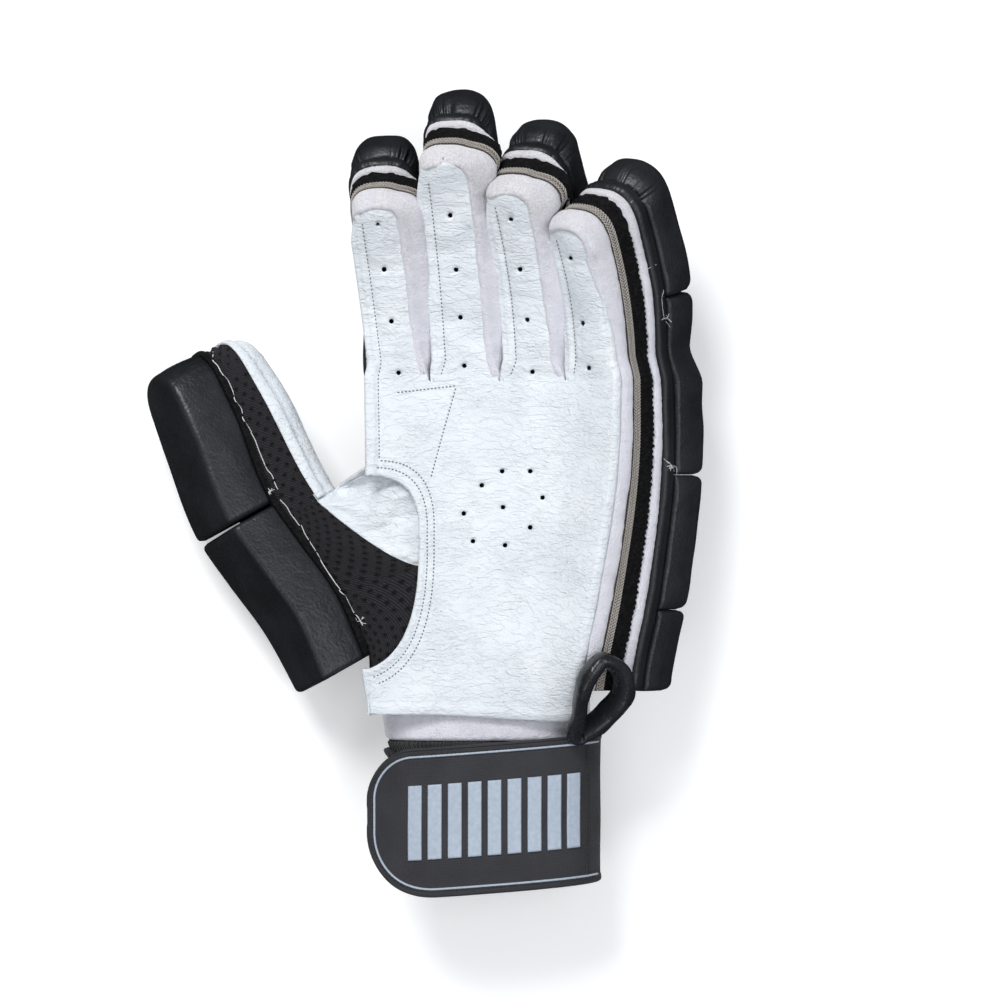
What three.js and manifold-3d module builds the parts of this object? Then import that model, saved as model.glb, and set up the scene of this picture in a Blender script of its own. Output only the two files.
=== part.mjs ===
// A batting glove for the left hand, lying on its padded back with the palm up.
// Lengths are millimetres and angles degrees. +Z is up, the fingers point to +Y and the thumb to -X.
//
// The glove hangs on five strips: four columns, each a strip of the hand with its finger, and the thumb.
// At each place along a strip there is a section with a front line, the leather, and a back line, the
// padded strip behind it. The gusset walls run between the two lines, the pads lie behind the back line,
// and the hollow for the hand is what is left between them.

import * as THREE from "three";
import { mergeVertices } from "three/addons/utils/BufferGeometryUtils.js";
import Module from "manifold-3d";

const wasm = await Module();
wasm.setup();

// Gaps and material thicknesses
const clearance = 0.3; // between neighbouring pieces
const leather = 1.6; // palm leather
const cotton = 1.7; // towelling gusset wall
const tape = 0.8; // braid and mesh tapes sewn on the gusset
const tapeGap = 0.5; // under the tapes
const netting = 1.6; // spacer mesh of the thumb
const strip = 6; // padded strip behind each finger and the hand
const roll = 14.2; // foam rolls behind the strips
const rollBevel = 3.4;
const groove = 1.2; // between the rolls of one strip
const overhang = 1.5; // strips and rolls beyond the gusset
const columnGap = 0.9; // between neighbouring strips
const stripEdge = 0.8; // how far the edges of a strip's back are turned in
const stripSide = 0.75; // where they start to turn, as a share of its thickness
const rollFoot = 0.5; // how far a roll is drawn in where it is sewn to its strip
const rollShoulder = 0.66; // where its bevel starts, as a share of its thickness
const rollEnd = 0.72; // its thickness at an end, as a share of its thickness
const rollEndShoulder = 0.5; // and where the bevel starts there
const longestStep = 19; // between the sections of a roll

// The hand
const palmWidth = 85; // across the four knuckles
const palmHeight = 45.5; // top of the palm leather above the floor
const handLength = 107.5; // knuckles to the end of the back strips
const knuckleY = 39;
const backFloor = strip + clearance + roll; // the back line above the floor

// Hand sections from the knuckles to the wrist. along is a share of handLength and the sides are shares
// of palmWidth. arch is how much of each finger's tilt the palm keeps there.
const handRows = [
  { along: 0.0, palmLeft: -0.242, palmRight: 0.758, backLeft: -0.293, backRight: 0.955, arch: 1 },
  { along: 0.22, palmLeft: -0.238, palmRight: 0.749, backLeft: -0.293, backRight: 0.96, arch: 0.96 },
  { along: 0.71, palmLeft: -0.245, palmRight: 0.657, backLeft: -0.293, backRight: 0.895, arch: 0.8 },
  { along: 1.0, palmLeft: -0.238, palmRight: 0.58, backLeft: -0.282, backRight: 0.83, arch: 0.5 },
  { along: 1.08, palmLeft: -0.238, palmRight: 0.555, backLeft: -0.282, backRight: 0.83, arch: 0.05 },
];

// Fingers. palmShare and palmTilt lay out the palm leather at the knuckles, backShare and backTilt the
// back line. lean turns the finger towards the thumb, curl raises its tip, roll turns it about itself.
// joints are where its rolls part and vents where its air holes are, as shares of its length.
const fingers = [
  {
    name: "index", palmShare: 0.24, palmTilt: 0, backShare: 0.25, backTilt: 0, length: 66, width: 17.6,
    backWidth: 21.6, depth: 23, leanBase: 7, leanTip: 8, curl: 37, rollTip: 8,
    joints: [0.13, 0.53], vents: [0.05, 0.33, 0.62, 0.88],
  },
  {
    name: "middle", palmShare: 0.27, palmTilt: 3, backShare: 0.25, backTilt: 0, length: 82, width: 19.6,
    backWidth: 22, depth: 23, leanBase: 3, leanTip: 8, curl: 39, rollTip: 12,
    joints: [0.13, 0.52], vents: [0.07, 0.28, 0.49, 0.74],
  },
  {
    name: "ring", palmShare: 0.26, palmTilt: 12, backShare: 0.25, backTilt: 12, length: 71, width: 17.8,
    backWidth: 22, depth: 23, leanBase: 2, leanTip: 15, curl: 37, rollTip: 27,
    joints: [0.13, 0.52], vents: [0.05, 0.31, 0.57, 0.84],
  },
  {
    name: "little", palmShare: 0.23, palmTilt: 38, backShare: 0.25, backTilt: 48, length: 57, width: 18,
    backWidth: 22.5, depth: 23, leanBase: 1, leanTip: 19, curl: 31, rollTip: 47,
    joints: [0.4], vents: [0.08, 0.36, 0.78],
  },
];

// Rolls on the hand, from the knuckles to the wrist, where they part as shares of handLength
const handJoints = [0.3, 0.74, 1];
const tipTurns = [0, 28, 52, 74]; // where the round fingertips have their corners
const tipRound = 0.95; // length of a round tip as a share of half its width
const fingerNarrows = 9; // how far from the knuckle a finger has its own width
const fingerOpens = 14; // and where the fingers have come apart
const freeOverhang = 0.35; // share of the overhang that the strips have between two fingers
const crotchStart = 3; // the walls between two fingers start this far from the knuckles
const tapeStart = 10; // and their tapes
const walkSteps = 24; // for following a finger's curve
const acrossShares = [0, 1 / 3, 2 / 3, 1]; // the points across a front

// How the gusset is divided between the palm and the back strip
const braidFrom = 0.4;
const braidTo = 0.53;
const meshTo = 0.78;
const tapeMargin = 0.01; // between the tapes, as a share of the depth
const gussetBulge = 0.4;
const fingerCrown = 1.6; // the leather's rise across a finger

// The thumb: a straight strip that lies on its side, its leather turned to the hand and a little down
const thumbLength = 121;
const thumbWidth = 33;
const thumbLean = 29.3; // turn from the fingers' direction
const thumbTilt = 25; // how far its back is turned up from the side
const thumbTip = { x: -74.5, y: 52, z: 18.6 };
const thumbStrip = 2.2;
const thumbRoll = 17.5;
const thumbWrap = 0.44; // share of the thumb's depth that the leather wraps
const thumbRollSplit = 0.52; // where its two pads meet
const leatherStart = 0.47; // where the thumb leather comes out of the web
const thumbMargin = clearance / (thumbWidth / 2); // a clearance as a share of the thumb's depth
const thumbSeam = 0.72; // where the netting's side has a corner, as a share of its depth
const thumbShoulder = 0.7; // where a pad's bevel starts, as a share of its thickness
const thumbPadBevel = 3;
const thumbStripBevel = 0.4;
const thumbEndDrop = 0.07; // how much lower a pad is at its ends for each millimetre of its bevel

// Thumb sections from the base to the tip. along is a share of thumbLength, the rest of thumbWidth:
// front and back are how far the leather and the back line lie from the thumb's axis.
const thumbRows = [
  { along: 0.0, front: 0.27, back: 0.4, width: 0.82 },
  { along: 0.21, front: 0.25, back: 0.36, width: 1.0 },
  { along: 0.38, front: 0.23, back: 0.44, width: 1.02 },
  { along: 0.53, front: 0.22, back: 0.5, width: 1.02 },
  { along: 0.8, front: 0.29, back: 0.36, width: 0.98 },
  { along: 1.0, front: 0.27, back: 0.26, width: 0.76 },
];

// The opening in the palm leather where the thumb comes out
const openingTop = 6.2;
const openingBottom = -61;
const openingReach = -3.2;
const openingMiddle = -20;
const seamAllowance = 2.6;
const openingPast = 1.6; // the opening's outline ends outside the glove, at this share of its left edge
const openingCorner = { top: 0.55, upper: 0.7, lower: 0.85, bottom: 0.52 }; // where its round corners end

// The web and the netting between the thumb and the palm, as shares of the opening's outline and of
// the thumb's length
const webStart = 0.16;
const webReach = 0.5;
const webGap = 0.06;
const webSeamEnd = 0.2;
const webSeamWrap = 0.6; // share of the leather's wrap that the seam keeps
const webSeamBend = 1.3; // above 1 the seam stays longer on the thumb
const webFold = 1.4; // how soon the web leaves the thumb's corner
const webSag = 1.2;
const webSteps = 5;
const roofEnd = 0.84;
const roofTurn = 0.6; // share of its rows that run along the web
const roofSteps = 7;
const floorEnd = 0.12;
const floorSteps = 5;
const floorCorner = 4; // margins between the leather's edge and the floor's first corner
const nettingLap = 1; // how far the netting's roof and floor reach into its side wall
const floorLift = 4; // seam allowances from the opening's lower end to the netting's

// Vents punched through the leather, and the ones in the palm as shares of palmWidth and handLength
const ventRadius = 1.35;
const ventSides = 6;
const openingCurve = 6; // segments in each curve of the thumb's opening
const palmVents = [
  [0.305, 0.289], [0.42, 0.289], [0.222, 0.335], [0.47, 0.374], [0.309, 0.406],
  [0.148, 0.426], [0.42, 0.471], [0.185, 0.516], [0.317, 0.529],
];

// The wrist
const cuffHalfWidth = 36.4;
const cuffWall = 2.2;
const cuffX = 20.6;
const cuffLift = 5.4; // underside of the cuff above the floor
const cuffHeight = palmHeight - leather - 2 * clearance - cuffLift;
const cuffTop = -69.6; // where the cuff starts, just past the back strips
const cuffEnd = -86.4; // where the white towelling meets the black knitted wristband
const wristbandEnd = -126;
const cuffSquare = 2.6; // 2 is an ellipse, more is squarer
const cuffSegments = 36;
const strapTop = -86.9;
const strapWidth = 52.5;
const strapSlant = 0.077; // how much the strap rises to the right
const strapWall = 2.4;
const strapFrom = 160; // start of the under layer, degrees round from the right side over the top
const strapOverlap = 22; // how far the free end reaches past that, degrees
const strapEndRound = 13; // round corners of the free end
const strapSegments = 34;

// The pull loop: a flat teardrop of leather standing on edge at the wrist. Its points are measured from
// the cuff's right side, the strap's upper edge and the cuff's top.
const loopPath = [
  { x: -4.8, y: 3.5, z: 1.7 },
  { x: -4.2, y: 10.9, z: 9.2 },
  { x: -2.5, y: 21.4, z: 18.2 },
  { x: 3.2, y: 29.4, z: 17.7 },
  { x: 9.8, y: 25.4, z: 13.2 },
  { x: 10.6, y: 17.4, z: 8.2 },
  { x: 5.5, y: 10.4, z: 3.7 },
  { x: 0, y: 5.7, z: 1.2 },
];
const loopWall = 2;
const loopHeight = 9;
const loopSegments = 22;

// Looks
const looks = {
  leather: { color: 0xe6e7ec, roughness: 0.62, metalness: 0 },
  cotton: { color: 0xdcdbe6, roughness: 0.95, metalness: 0 },
  braid: { color: 0x9d9a98, roughness: 0.5, metalness: 0.3 },
  mesh: { color: 0x17171a, roughness: 0.8, metalness: 0 },
  foam: { color: 0x1f2024, roughness: 0.55, metalness: 0 },
  strap: { color: 0x35363b, roughness: 0.7, metalness: 0 },
};

const degree = Math.PI / 180;
const lerp = (a, b, t) => a + (b - a) * t;
const smooth = (t) => {
  const held = Math.min(Math.max(t, 0), 1);
  return held * held * (3 - 2 * held);
};
const vector = (x, y, z) => new THREE.Vector3(x, y, z);

// Reads a table of sections at any place along it
function rowAt(rows, along) {
  let i = 1;
  while (i < rows.length - 1 && rows[i].along < along) i += 1;
  const [a, b] = [rows[i - 1], rows[i]];
  const t = (along - a.along) / (b.along - a.along);
  return Object.fromEntries(Object.keys(a).map((key) => [key, lerp(a[key], b[key], t)]));
}

// Points where the columns meet along one line of a hand section, from left to right
function sectionLine(left, right, height, share, tilt, keep) {
  const turned = fingers.map((finger) => finger[tilt] * keep * degree);
  const spread = fingers.reduce((sum, finger, i) => sum + finger[share] * Math.cos(turned[i]), 0);
  const developed = ((right - left) * palmWidth) / spread;
  const points = [{ x: left * palmWidth, z: height }];
  fingers.forEach((finger, i) => {
    const last = points[i];
    const step = developed * finger[share];
    points.push({ x: last.x + step * Math.cos(turned[i]), z: last.z + step * Math.sin(turned[i]) });
  });
  return points;
}

// One section of a column in the hand, s millimetres from the knuckles (negative towards the wrist)
function handFrame(index, s) {
  const row = rowAt(handRows, -s / handLength);
  const palm = sectionLine(row.palmLeft, row.palmRight, palmHeight, "palmShare", "palmTilt", row.arch);
  const back = sectionLine(row.backLeft, row.backRight, backFloor, "backShare", "backTilt", 1);
  const at = (point) => vector(point.x, knuckleY + s, point.z);
  const [left, right] = [at(palm[index]), at(palm[index + 1])];
  const front = left.clone().add(right).multiplyScalar(0.5);
  const across = right.clone().sub(left).normalize();
  const out = vector(-across.z, 0, across.x);
  const local = (point) => {
    const offset = at(point).sub(front);
    return { b: offset.dot(across), n: offset.dot(out) };
  };
  return {
    front, along: vector(0, 1, 0), across, out, tip: 1, turn: 0,
    edge: [local(palm[index]), local(palm[index + 1])],
    back: [local(back[index]), local(back[index + 1])],
  };
}

// The direction of a finger at a share t of its length
function fingerAxes(finger, base, t) {
  const lean = lerp(finger.leanBase, finger.leanTip, t) * degree;
  const pitch = finger.curl * t * degree;
  const turn = lerp(base, finger.rollTip * degree, smooth(t * 2));
  const along = vector(-Math.sin(lean) * Math.cos(pitch), Math.cos(lean) * Math.cos(pitch), Math.sin(pitch));
  const up = vector(Math.sin(lean) * Math.sin(pitch), -Math.cos(lean) * Math.sin(pitch), Math.cos(pitch));
  const side = along.clone().cross(up);
  const out = up.clone().multiplyScalar(Math.cos(turn)).addScaledVector(side, -Math.sin(turn));
  const across = side.multiplyScalar(Math.cos(turn)).addScaledVector(up, Math.sin(turn));
  return { along, across, out };
}

// One section of a finger, s millimetres beyond its knuckle
function fingerFrame(index, s) {
  const finger = fingers[index];
  const knuckle = handFrame(index, 0);
  const base = Math.atan2(knuckle.across.z, knuckle.across.x);
  const front = knuckle.front.clone();
  for (let i = 0; i < walkSteps; i += 1) {
    const t = ((i + 0.5) / walkSteps) * (s / finger.length);
    front.addScaledVector(fingerAxes(finger, base, t).along, s / walkSteps);
  }
  const own = smooth(s / fingerNarrows);
  const corner = (from, half, n, t) => ({ b: lerp(from.b, half, t), n: lerp(from.n, n, t) });
  const [half, backHalf] = [finger.width / 2, finger.backWidth / 2];
  return {
    front, ...fingerAxes(finger, base, s / finger.length), tip: 1, turn: 0,
    edge: [corner(knuckle.edge[0], -half, 0, own), corner(knuckle.edge[1], half, 0, own)],
    back: [
      corner(knuckle.back[0], -backHalf, -finger.depth, own),
      corner(knuckle.back[1], backHalf, -finger.depth, own),
    ],
  };
}

// One section of the thumb, s millimetres from its base
function thumbFrame(s) {
  const row = rowAt(thumbRows, s / thumbLength);
  const [lean, tilt] = [thumbLean * degree, thumbTilt * degree];
  const along = vector(-Math.sin(lean), Math.cos(lean), 0);
  const right = vector(Math.cos(lean), Math.sin(lean), 0);
  const up = vector(0, 0, 1);
  const out = right.clone().multiplyScalar(Math.cos(tilt)).addScaledVector(up, -Math.sin(tilt));
  const across = right.clone().multiplyScalar(-Math.sin(tilt)).addScaledVector(up, -Math.cos(tilt));
  const axis = vector(thumbTip.x, thumbTip.y, thumbTip.z).addScaledVector(along, s - thumbLength);
  const half = (row.width * thumbWidth) / 2;
  const depth = (row.front + row.back) * thumbWidth;
  return {
    front: axis.addScaledVector(out, row.front * thumbWidth), along, across, out, tip: 1, turn: 0,
    edge: [{ b: -half, n: 0 }, { b: half, n: 0 }],
    back: [{ b: -half, n: -depth }, { b: half, n: -depth }],
  };
}

// A place in a section: u runs from its left side (0) to its right (1), v from the front to the back line,
// and push moves the place outwards from the sides and round the tip
function place(frame, u, v, push = 0, rise = 0) {
  const side = u < 0.5 ? -1 : 1;
  const spread = 0.5 + (u - 0.5) * frame.tip;
  const row = ["b", "n"].map((key) => {
    const front = lerp(frame.edge[0][key], frame.edge[1][key], spread);
    const back = lerp(frame.back[0][key], frame.back[1][key], spread);
    return lerp(front, back, v);
  });
  return frame.front.clone()
    .addScaledVector(frame.across, row[0] + side * push * Math.cos(frame.turn))
    .addScaledVector(frame.along, push * Math.sin(frame.turn))
    .addScaledVector(frame.out, row[1] + rise);
}

// A place behind the back line, drop millimetres out from the hollow
function behind(frame, side, drop, push) {
  const [left, right] = [place(frame, 0, 1), place(frame, 1, 1)];
  const across = frame.across.clone();
  const [a, b] = frame.back;
  across.multiplyScalar(b.b - a.b).addScaledVector(frame.out, b.n - a.n).normalize();
  const out = across.clone().cross(frame.along);
  return (side < 0 ? left : right)
    .addScaledVector(across, side * push * Math.cos(frame.turn))
    .addScaledVector(frame.along, push * Math.sin(frame.turn))
    .addScaledVector(out, -drop);
}

// The sections of a strip whose end is round, at its own stations
function tipFrames(frameAt, length, half) {
  const radius = half * tipRound;
  return tipTurns.map((angle) => {
    const turn = angle * degree;
    const frame = frameAt(length - radius + radius * Math.sin(turn));
    return { ...frame, tip: Math.cos(turn), turn };
  });
}

// A closed body from a row of rings. Each ring folds flat about its middle, so that its two halves face
// each other, and the two end rings close the body.
function loft(rings) {
  const size = rings[0].length;
  const triangles = [];
  const quad = (a, b, c, d) => triangles.push([a, b, c], [a, c, d]);
  rings.slice(1).forEach((ring, i) => {
    const last = rings[i];
    ring.forEach((point, j) => {
      const next = (j + 1) % size;
      quad(last[j], last[next], ring[next], point);
    });
  });
  const cap = (ring, flip) => {
    for (let j = 0; j < size / 2 - 1; j += 1) {
      const corners = [ring[j], ring[j + 1], ring[size - 2 - j], ring[size - 1 - j]];
      quad(...(flip ? corners.reverse() : corners));
    }
  };
  cap(rings[0], true);
  cap(rings[rings.length - 1], false);
  return closedBody(triangles);
}

// A ring of rings, such as a sleeve or a loop, without ends
function endlessLoft(rings) {
  const triangles = [];
  rings.forEach((ring, i) => {
    const next = rings[(i + 1) % rings.length];
    ring.forEach((point, j) => {
      const k = (j + 1) % ring.length;
      triangles.push([point, ring[k], next[k]], [point, next[k], next[j]]);
    });
  });
  return closedBody(triangles);
}

// A geometry from triangles, turned so that its faces point out
function closedBody(triangles) {
  const volume = triangles.reduce((sum, [a, b, c]) => sum + a.dot(b.clone().cross(c)), 0);
  const turned = volume < 0 ? triangles.map(([a, b, c]) => [a, c, b]) : triangles;
  const solid = turned.filter(([a, b, c]) => !a.equals(b) && !b.equals(c) && !a.equals(c));
  const positions = solid.flat().flatMap((point) => point.toArray());
  const geometry = new THREE.BufferGeometry();
  geometry.setAttribute("position", new THREE.Float32BufferAttribute(positions, 3));
  return mergeVertices(geometry, 1e-4);
}

// A sheet of even thickness from a net of quads, grown to the side that the quads face away from
function sheet(quads, thickness) {
  const key = (point) => point.toArray().map((value) => value.toFixed(3)).join(" ");
  const corners = new Map();
  for (const quad of quads) {
    const normal = quad[2].clone().sub(quad[0]).cross(quad[3].clone().sub(quad[1])).normalize();
    for (const point of quad) {
      if (!corners.has(key(point))) corners.set(key(point), { point, normal: vector(0, 0, 0) });
      corners.get(key(point)).normal.add(normal);
    }
  }
  for (const corner of corners.values()) {
    corner.under = corner.point.clone().addScaledVector(corner.normal.normalize(), -thickness);
  }
  const edges = new Map();
  const triangles = [];
  for (const quad of quads) {
    const top = quad.map((point) => corners.get(key(point)));
    const [a, b, c, d] = top.map((corner) => corner.point);
    const [e, f, g, h] = top.map((corner) => corner.under);
    triangles.push([a, b, c], [a, c, d], [e, g, f], [e, h, g]);
    top.forEach((corner, i) => {
      const next = top[(i + 1) % top.length];
      const back = `${key(next.point)}/${key(corner.point)}`;
      if (edges.has(back)) edges.delete(back);
      else edges.set(`${key(corner.point)}/${key(next.point)}`, [corner, next]);
    });
  }
  for (const [corner, next] of edges.values()) {
    triangles.push([corner.point, corner.under, next.under], [corner.point, next.under, next.point]);
  }
  return closedBody(triangles);
}

// Quads between rows of points
function net(rows) {
  const quads = [];
  rows.slice(1).forEach((row, i) => {
    row.slice(1).forEach((point, j) => quads.push([rows[i][j], rows[i][j + 1], point, row[j]]));
  });
  return quads;
}

// Joining and cutting
function toSolid(geometry) {
  const bare = geometry.clone();
  bare.deleteAttribute("normal");
  bare.deleteAttribute("uv");
  const merged = mergeVertices(bare, 1e-4);
  const indexes = merged.index ? merged.index.array : merged.attributes.position.array.map((_, i) => i);
  return new wasm.Manifold(new wasm.Mesh({
    numProp: 3,
    vertProperties: new Float32Array(merged.attributes.position.array),
    triVerts: new Uint32Array(indexes),
  }));
}

function toGeometry(solid) {
  const mesh = solid.getMesh();
  const geometry = new THREE.BufferGeometry();
  geometry.setAttribute("position", new THREE.BufferAttribute(new Float32Array(mesh.vertProperties), 3));
  geometry.setIndex(new THREE.BufferAttribute(new Uint32Array(mesh.triVerts), 1));
  return geometry;
}

function cutAway(geometry, tools) {
  const solid = tools.reduce((rest, tool) => rest.subtract(toSolid(tool)), toSolid(geometry));
  return toGeometry(solid);
}

// Where the rolls of a column start and end, as millimetres from the knuckles
function rollSpans(finger) {
  const cuts = [
    ...handJoints.map((share) => -share * handLength).reverse(),
    ...finger.joints.map((share) => share * finger.length),
    finger.length,
  ];
  return cuts.slice(1).map((end, i) => [cuts[i] + (i ? groove / 2 : 0), end - groove / 2]).reverse();
}

// The stations of one roll: its two bevelled ends and what lies between
function rollStations([start, end], isTip, half) {
  const last = isTip ? end + groove / 2 - half * tipRound : end - rollBevel;
  const first = start + rollBevel;
  const count = Math.max(1, Math.round((last - first) / longestStep));
  const middle = Array.from({ length: count + 1 }, (_, i) => lerp(first, last, i / count));
  return isTip ? [start, ...middle.slice(0, -1)] : [start, ...middle, end];
}

// All sections of a column, from the wrist to its fingertip
function columnFrames(index) {
  const finger = fingers[index];
  const half = finger.backWidth / 2;
  const spans = rollSpans(finger);
  const stations = spans.flatMap((span, i) => rollStations(span, i === 0, half));
  const frames = [...stations, 0].sort((a, b) => a - b).map((s) => ({ s, ...columnFrame(index, s) }));
  const tip = tipFrames((s) => ({ s, ...columnFrame(index, s) }), finger.length, half);
  return [...frames, ...tip];
}

function columnFrame(index, s) {
  return s <= 0 ? handFrame(index, s) : fingerFrame(index, s);
}

// How far a column's strip and rolls stand out at a side: clear of the next column in the hand, and
// beyond the gusset where the side is free
function sidePush(index, side, s) {
  const free = side < 0 ? index === 0 : index === fingers.length - 1;
  if (free) return overhang;
  return lerp(-columnGap / 2, overhang * freeOverhang, smooth(s / fingerOpens));
}

// The path of a wall round a finger: up its left side, round the tip and down its right side
function wallPath(frames, leftFrom, rightFrom) {
  const left = frames.filter((frame) => frame.s >= leftFrom).map((frame) => ({ frame, side: 0 }));
  const right = frames.filter((frame) => frame.s >= rightFrom).map((frame) => ({ frame, side: 1 }));
  return [...left, ...right.reverse()];
}

// A wall between two shares of the depth, from an inner to an outer offset of the gusset's face
function wall(path, stops, inner, outer, bulge) {
  const rings = path.map(({ frame, side }) => {
    const face = (v, offset) => place(frame, side, v, offset + bulge * Math.sin(Math.PI * v));
    return [...stops.map((v) => face(v, outer)), ...[...stops].reverse().map((v) => face(v, inner))];
  });
  return loft(rings);
}

function gussetStops(depth) {
  return [(leather + 2 * clearance) / depth, braidFrom, braidTo, meshTo, 1 - clearance / depth];
}

function fingerWalls(index) {
  const finger = fingers[index];
  const frames = columnFrames(index);
  const leftFrom = index === 0 ? openingTop + seamAllowance + leather - knuckleY : crotchStart;
  const rightFrom = index === fingers.length - 1 ? -handLength : crotchStart;
  const path = wallPath(frames, leftFrom, rightFrom);
  const taped = ({ frame, side }) => frame.s > tapeStart || (side ? rightFrom : leftFrom) < 0;
  const tapePath = path.filter(taped);
  const onGusset = (stops) => wall(tapePath, stops, tapeGap, tapeGap + tape, gussetBulge);
  return {
    gusset: wall(path, gussetStops(finger.depth), -cotton, 0, gussetBulge),
    braid: onGusset([braidFrom + tapeMargin, braidTo - tapeMargin]),
    mesh: onGusset([braidTo + tapeMargin, meshTo]),
  };
}

// The padded strip behind a column
function backStrip(index) {
  const rings = columnFrames(index).map((frame) => {
    const corner = (side, drop, inset) => behind(frame, side, drop, sidePush(index, side, frame.s) - inset);
    return [
      corner(-1, 0, 0), corner(-1, strip * stripSide, 0), corner(-1, strip, stripEdge),
      corner(1, strip, stripEdge), corner(1, strip * stripSide, 0), corner(1, 0, 0),
    ];
  });
  return loft(rings);
}

// One foam roll of a column
function foamRoll(index, [start, end]) {
  const top = strip + clearance;
  const isTip = end + groove > fingers[index].length;
  const frames = columnFrames(index).filter((frame) => frame.s >= start && (isTip || frame.s <= end));
  const rings = frames.map((frame, i) => {
    const atEnd = i === 0 || (!isTip && i === frames.length - 1);
    const corner = (side, drop, inset) => behind(frame, side, drop, sidePush(index, side, frame.s) - inset);
    const full = top + roll * (atEnd ? rollEnd : 1);
    const shoulder = top + roll * (atEnd ? rollEndShoulder : rollShoulder);
    return [
      corner(1, top, rollFoot), corner(1, shoulder, 0), corner(1, full, rollBevel),
      corner(-1, full, rollBevel), corner(-1, shoulder, 0), corner(-1, top, rollFoot),
    ];
  });
  return loft(rings);
}

// The palm leather with the four finger fronts
function palmStations() {
  return handRows.map((row) => -row.along * handLength).reverse();
}

function frontRow(frame, crown) {
  return acrossShares.map((u) => place(frame, u, 0, 0, crown * Math.sin(Math.PI * u)));
}

function palmLeather() {
  const quads = [];
  fingers.forEach((finger, index) => {
    const hand = palmStations().map((s) => frontRow(handFrame(index, s), 0));
    const frames = columnFrames(index).filter((frame) => frame.s >= 0);
    const front = frames.map((frame) => frontRow(frame, fingerCrown * smooth(frame.s / fingerOpens)));
    quads.push(...net(hand), ...net(front));
  });
  return cutAway(sheet(quads, leather), [thumbOpening(0), ...vents()]);
}

// The outline of the thumb's opening, seen from above, grown by a margin
function openingOutline(margin) {
  const shape = new THREE.Shape();
  const left = handRows[0].backLeft * palmWidth * openingPast;
  const [top, bottom, reach] = [openingTop + margin, openingBottom - margin, openingReach + margin];
  shape.moveTo(left, top);
  const corner = openingCorner;
  shape.lineTo(lerp(left, reach, corner.top), top);
  shape.quadraticCurveTo(reach, top, reach, lerp(top, openingMiddle, corner.upper));
  shape.lineTo(reach, openingMiddle);
  const turn = lerp(openingMiddle, bottom, corner.lower);
  shape.quadraticCurveTo(reach, turn, lerp(left, reach, corner.bottom), bottom);
  shape.lineTo(left, bottom);
  return shape;
}

function thumbOpening(margin) {
  const depth = palmHeight;
  const options = { depth, bevelEnabled: false, curveSegments: openingCurve };
  const geometry = new THREE.ExtrudeGeometry(openingOutline(margin), options);
  return geometry.translate(0, 0, palmHeight - depth / 2);
}

function prism(centre, direction, radius, length) {
  const geometry = new THREE.CylinderGeometry(radius, radius, length, ventSides);
  geometry.applyQuaternion(new THREE.Quaternion().setFromUnitVectors(vector(0, 1, 0), direction));
  return geometry.translate(...centre.toArray());
}

function vents() {
  const onFingers = fingers.flatMap((finger, index) => finger.vents.map((share) => {
    const frame = columnFrame(index, share * finger.length);
    return prism(place(frame, 0.5, 0), frame.out, ventRadius, leather * 6);
  }));
  const onPalm = palmVents.map(([x, along]) => {
    const s = -along * handLength;
    const frames = fingers.map((_, index) => handFrame(index, s));
    const frame = frames.find((one) => place(one, 1, 0).x > x * palmWidth) ?? frames[0];
    const [left, right] = [place(frame, 0, 0), place(frame, 1, 0)];
    const u = (x * palmWidth - left.x) / (right.x - left.x);
    return prism(left.lerp(right, u), frame.out, ventRadius, leather * 6);
  });
  return [...onFingers, ...onPalm];
}

// The thumb
function thumbFrames(from) {
  const half = (rowAt(thumbRows, 1).width * thumbWidth) / 2;
  const radius = half * tipRound;
  const stops = thumbRows.map((row) => row.along * thumbLength);
  const stations = [...stops, from, leatherStart * thumbLength, thumbRollSplit * thumbLength];
  const straight = [...new Set(stations)].filter((s) => s >= from && s < thumbLength - radius - 1);
  const frames = straight.sort((a, b) => a - b).map((s) => ({ s, ...thumbFrame(s) }));
  return [...frames, ...tipFrames((s) => ({ s, ...thumbFrame(s) }), thumbLength, half)];
}

function thumbLeather() {
  const frames = thumbFrames(leatherStart * thumbLength);
  const front = frames.map((frame) => frontRow(frame, fingerCrown));
  const path = wallPath(frames, 0, 0);
  const skirt = path.map(({ frame, side }) => [place(frame, side, thumbWrap), place(frame, side, 0)]);
  return sheet([...net(front), ...net(skirt)], leather);
}

function thumbNetting() {
  const path = wallPath(thumbFrames(leatherStart * thumbLength), 0, 0);
  const side = wall(path, [thumbWrap + thumbMargin, thumbSeam, 1 - thumbMargin], -netting, 0, 0);
  return toGeometry(toSolid(side).add(toSolid(thumbRoof())).add(toSolid(thumbFloor())));
}

// A place just under the palm leather, along the edge of the thumb's opening
function underPalm(share) {
  const point = openingOutline(seamAllowance).getPointAt(share);
  return vector(point.x, point.y, palmHeight - leather - clearance);
}

// The seam between the white web and the black mesh, from the thumb leather to the palm
function webSeam(t) {
  const frame = thumbFrame(lerp(leatherStart, webSeamEnd, t) * thumbLength - clearance);
  const onThumb = place(frame, 0, thumbWrap * lerp(1, webSeamWrap, t));
  return onThumb.lerp(underPalm(webReach), t ** webSeamBend);
}

// The leather web between the thumb and the palm
function thumbWeb() {
  const corner = place(thumbFrame(leatherStart * thumbLength - clearance), 0, 0);
  const rows = Array.from({ length: webSteps + 1 }, (_, i) => {
    const t = i / webSteps;
    const inner = webSeam(t);
    const outer = underPalm(lerp(webStart, webReach - webGap, t));
    const fold = corner.clone().lerp(inner.clone().lerp(outer, 0.5), smooth(t * webFold));
    const rise = vector(0, 0, webSag * (1 - 2 * t));
    return [outer, fold.clone().lerp(outer, 0.5).add(rise), fold, inner.clone().lerp(fold, 0.5), inner];
  });
  return sheet(net(rows), leather);
}

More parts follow.
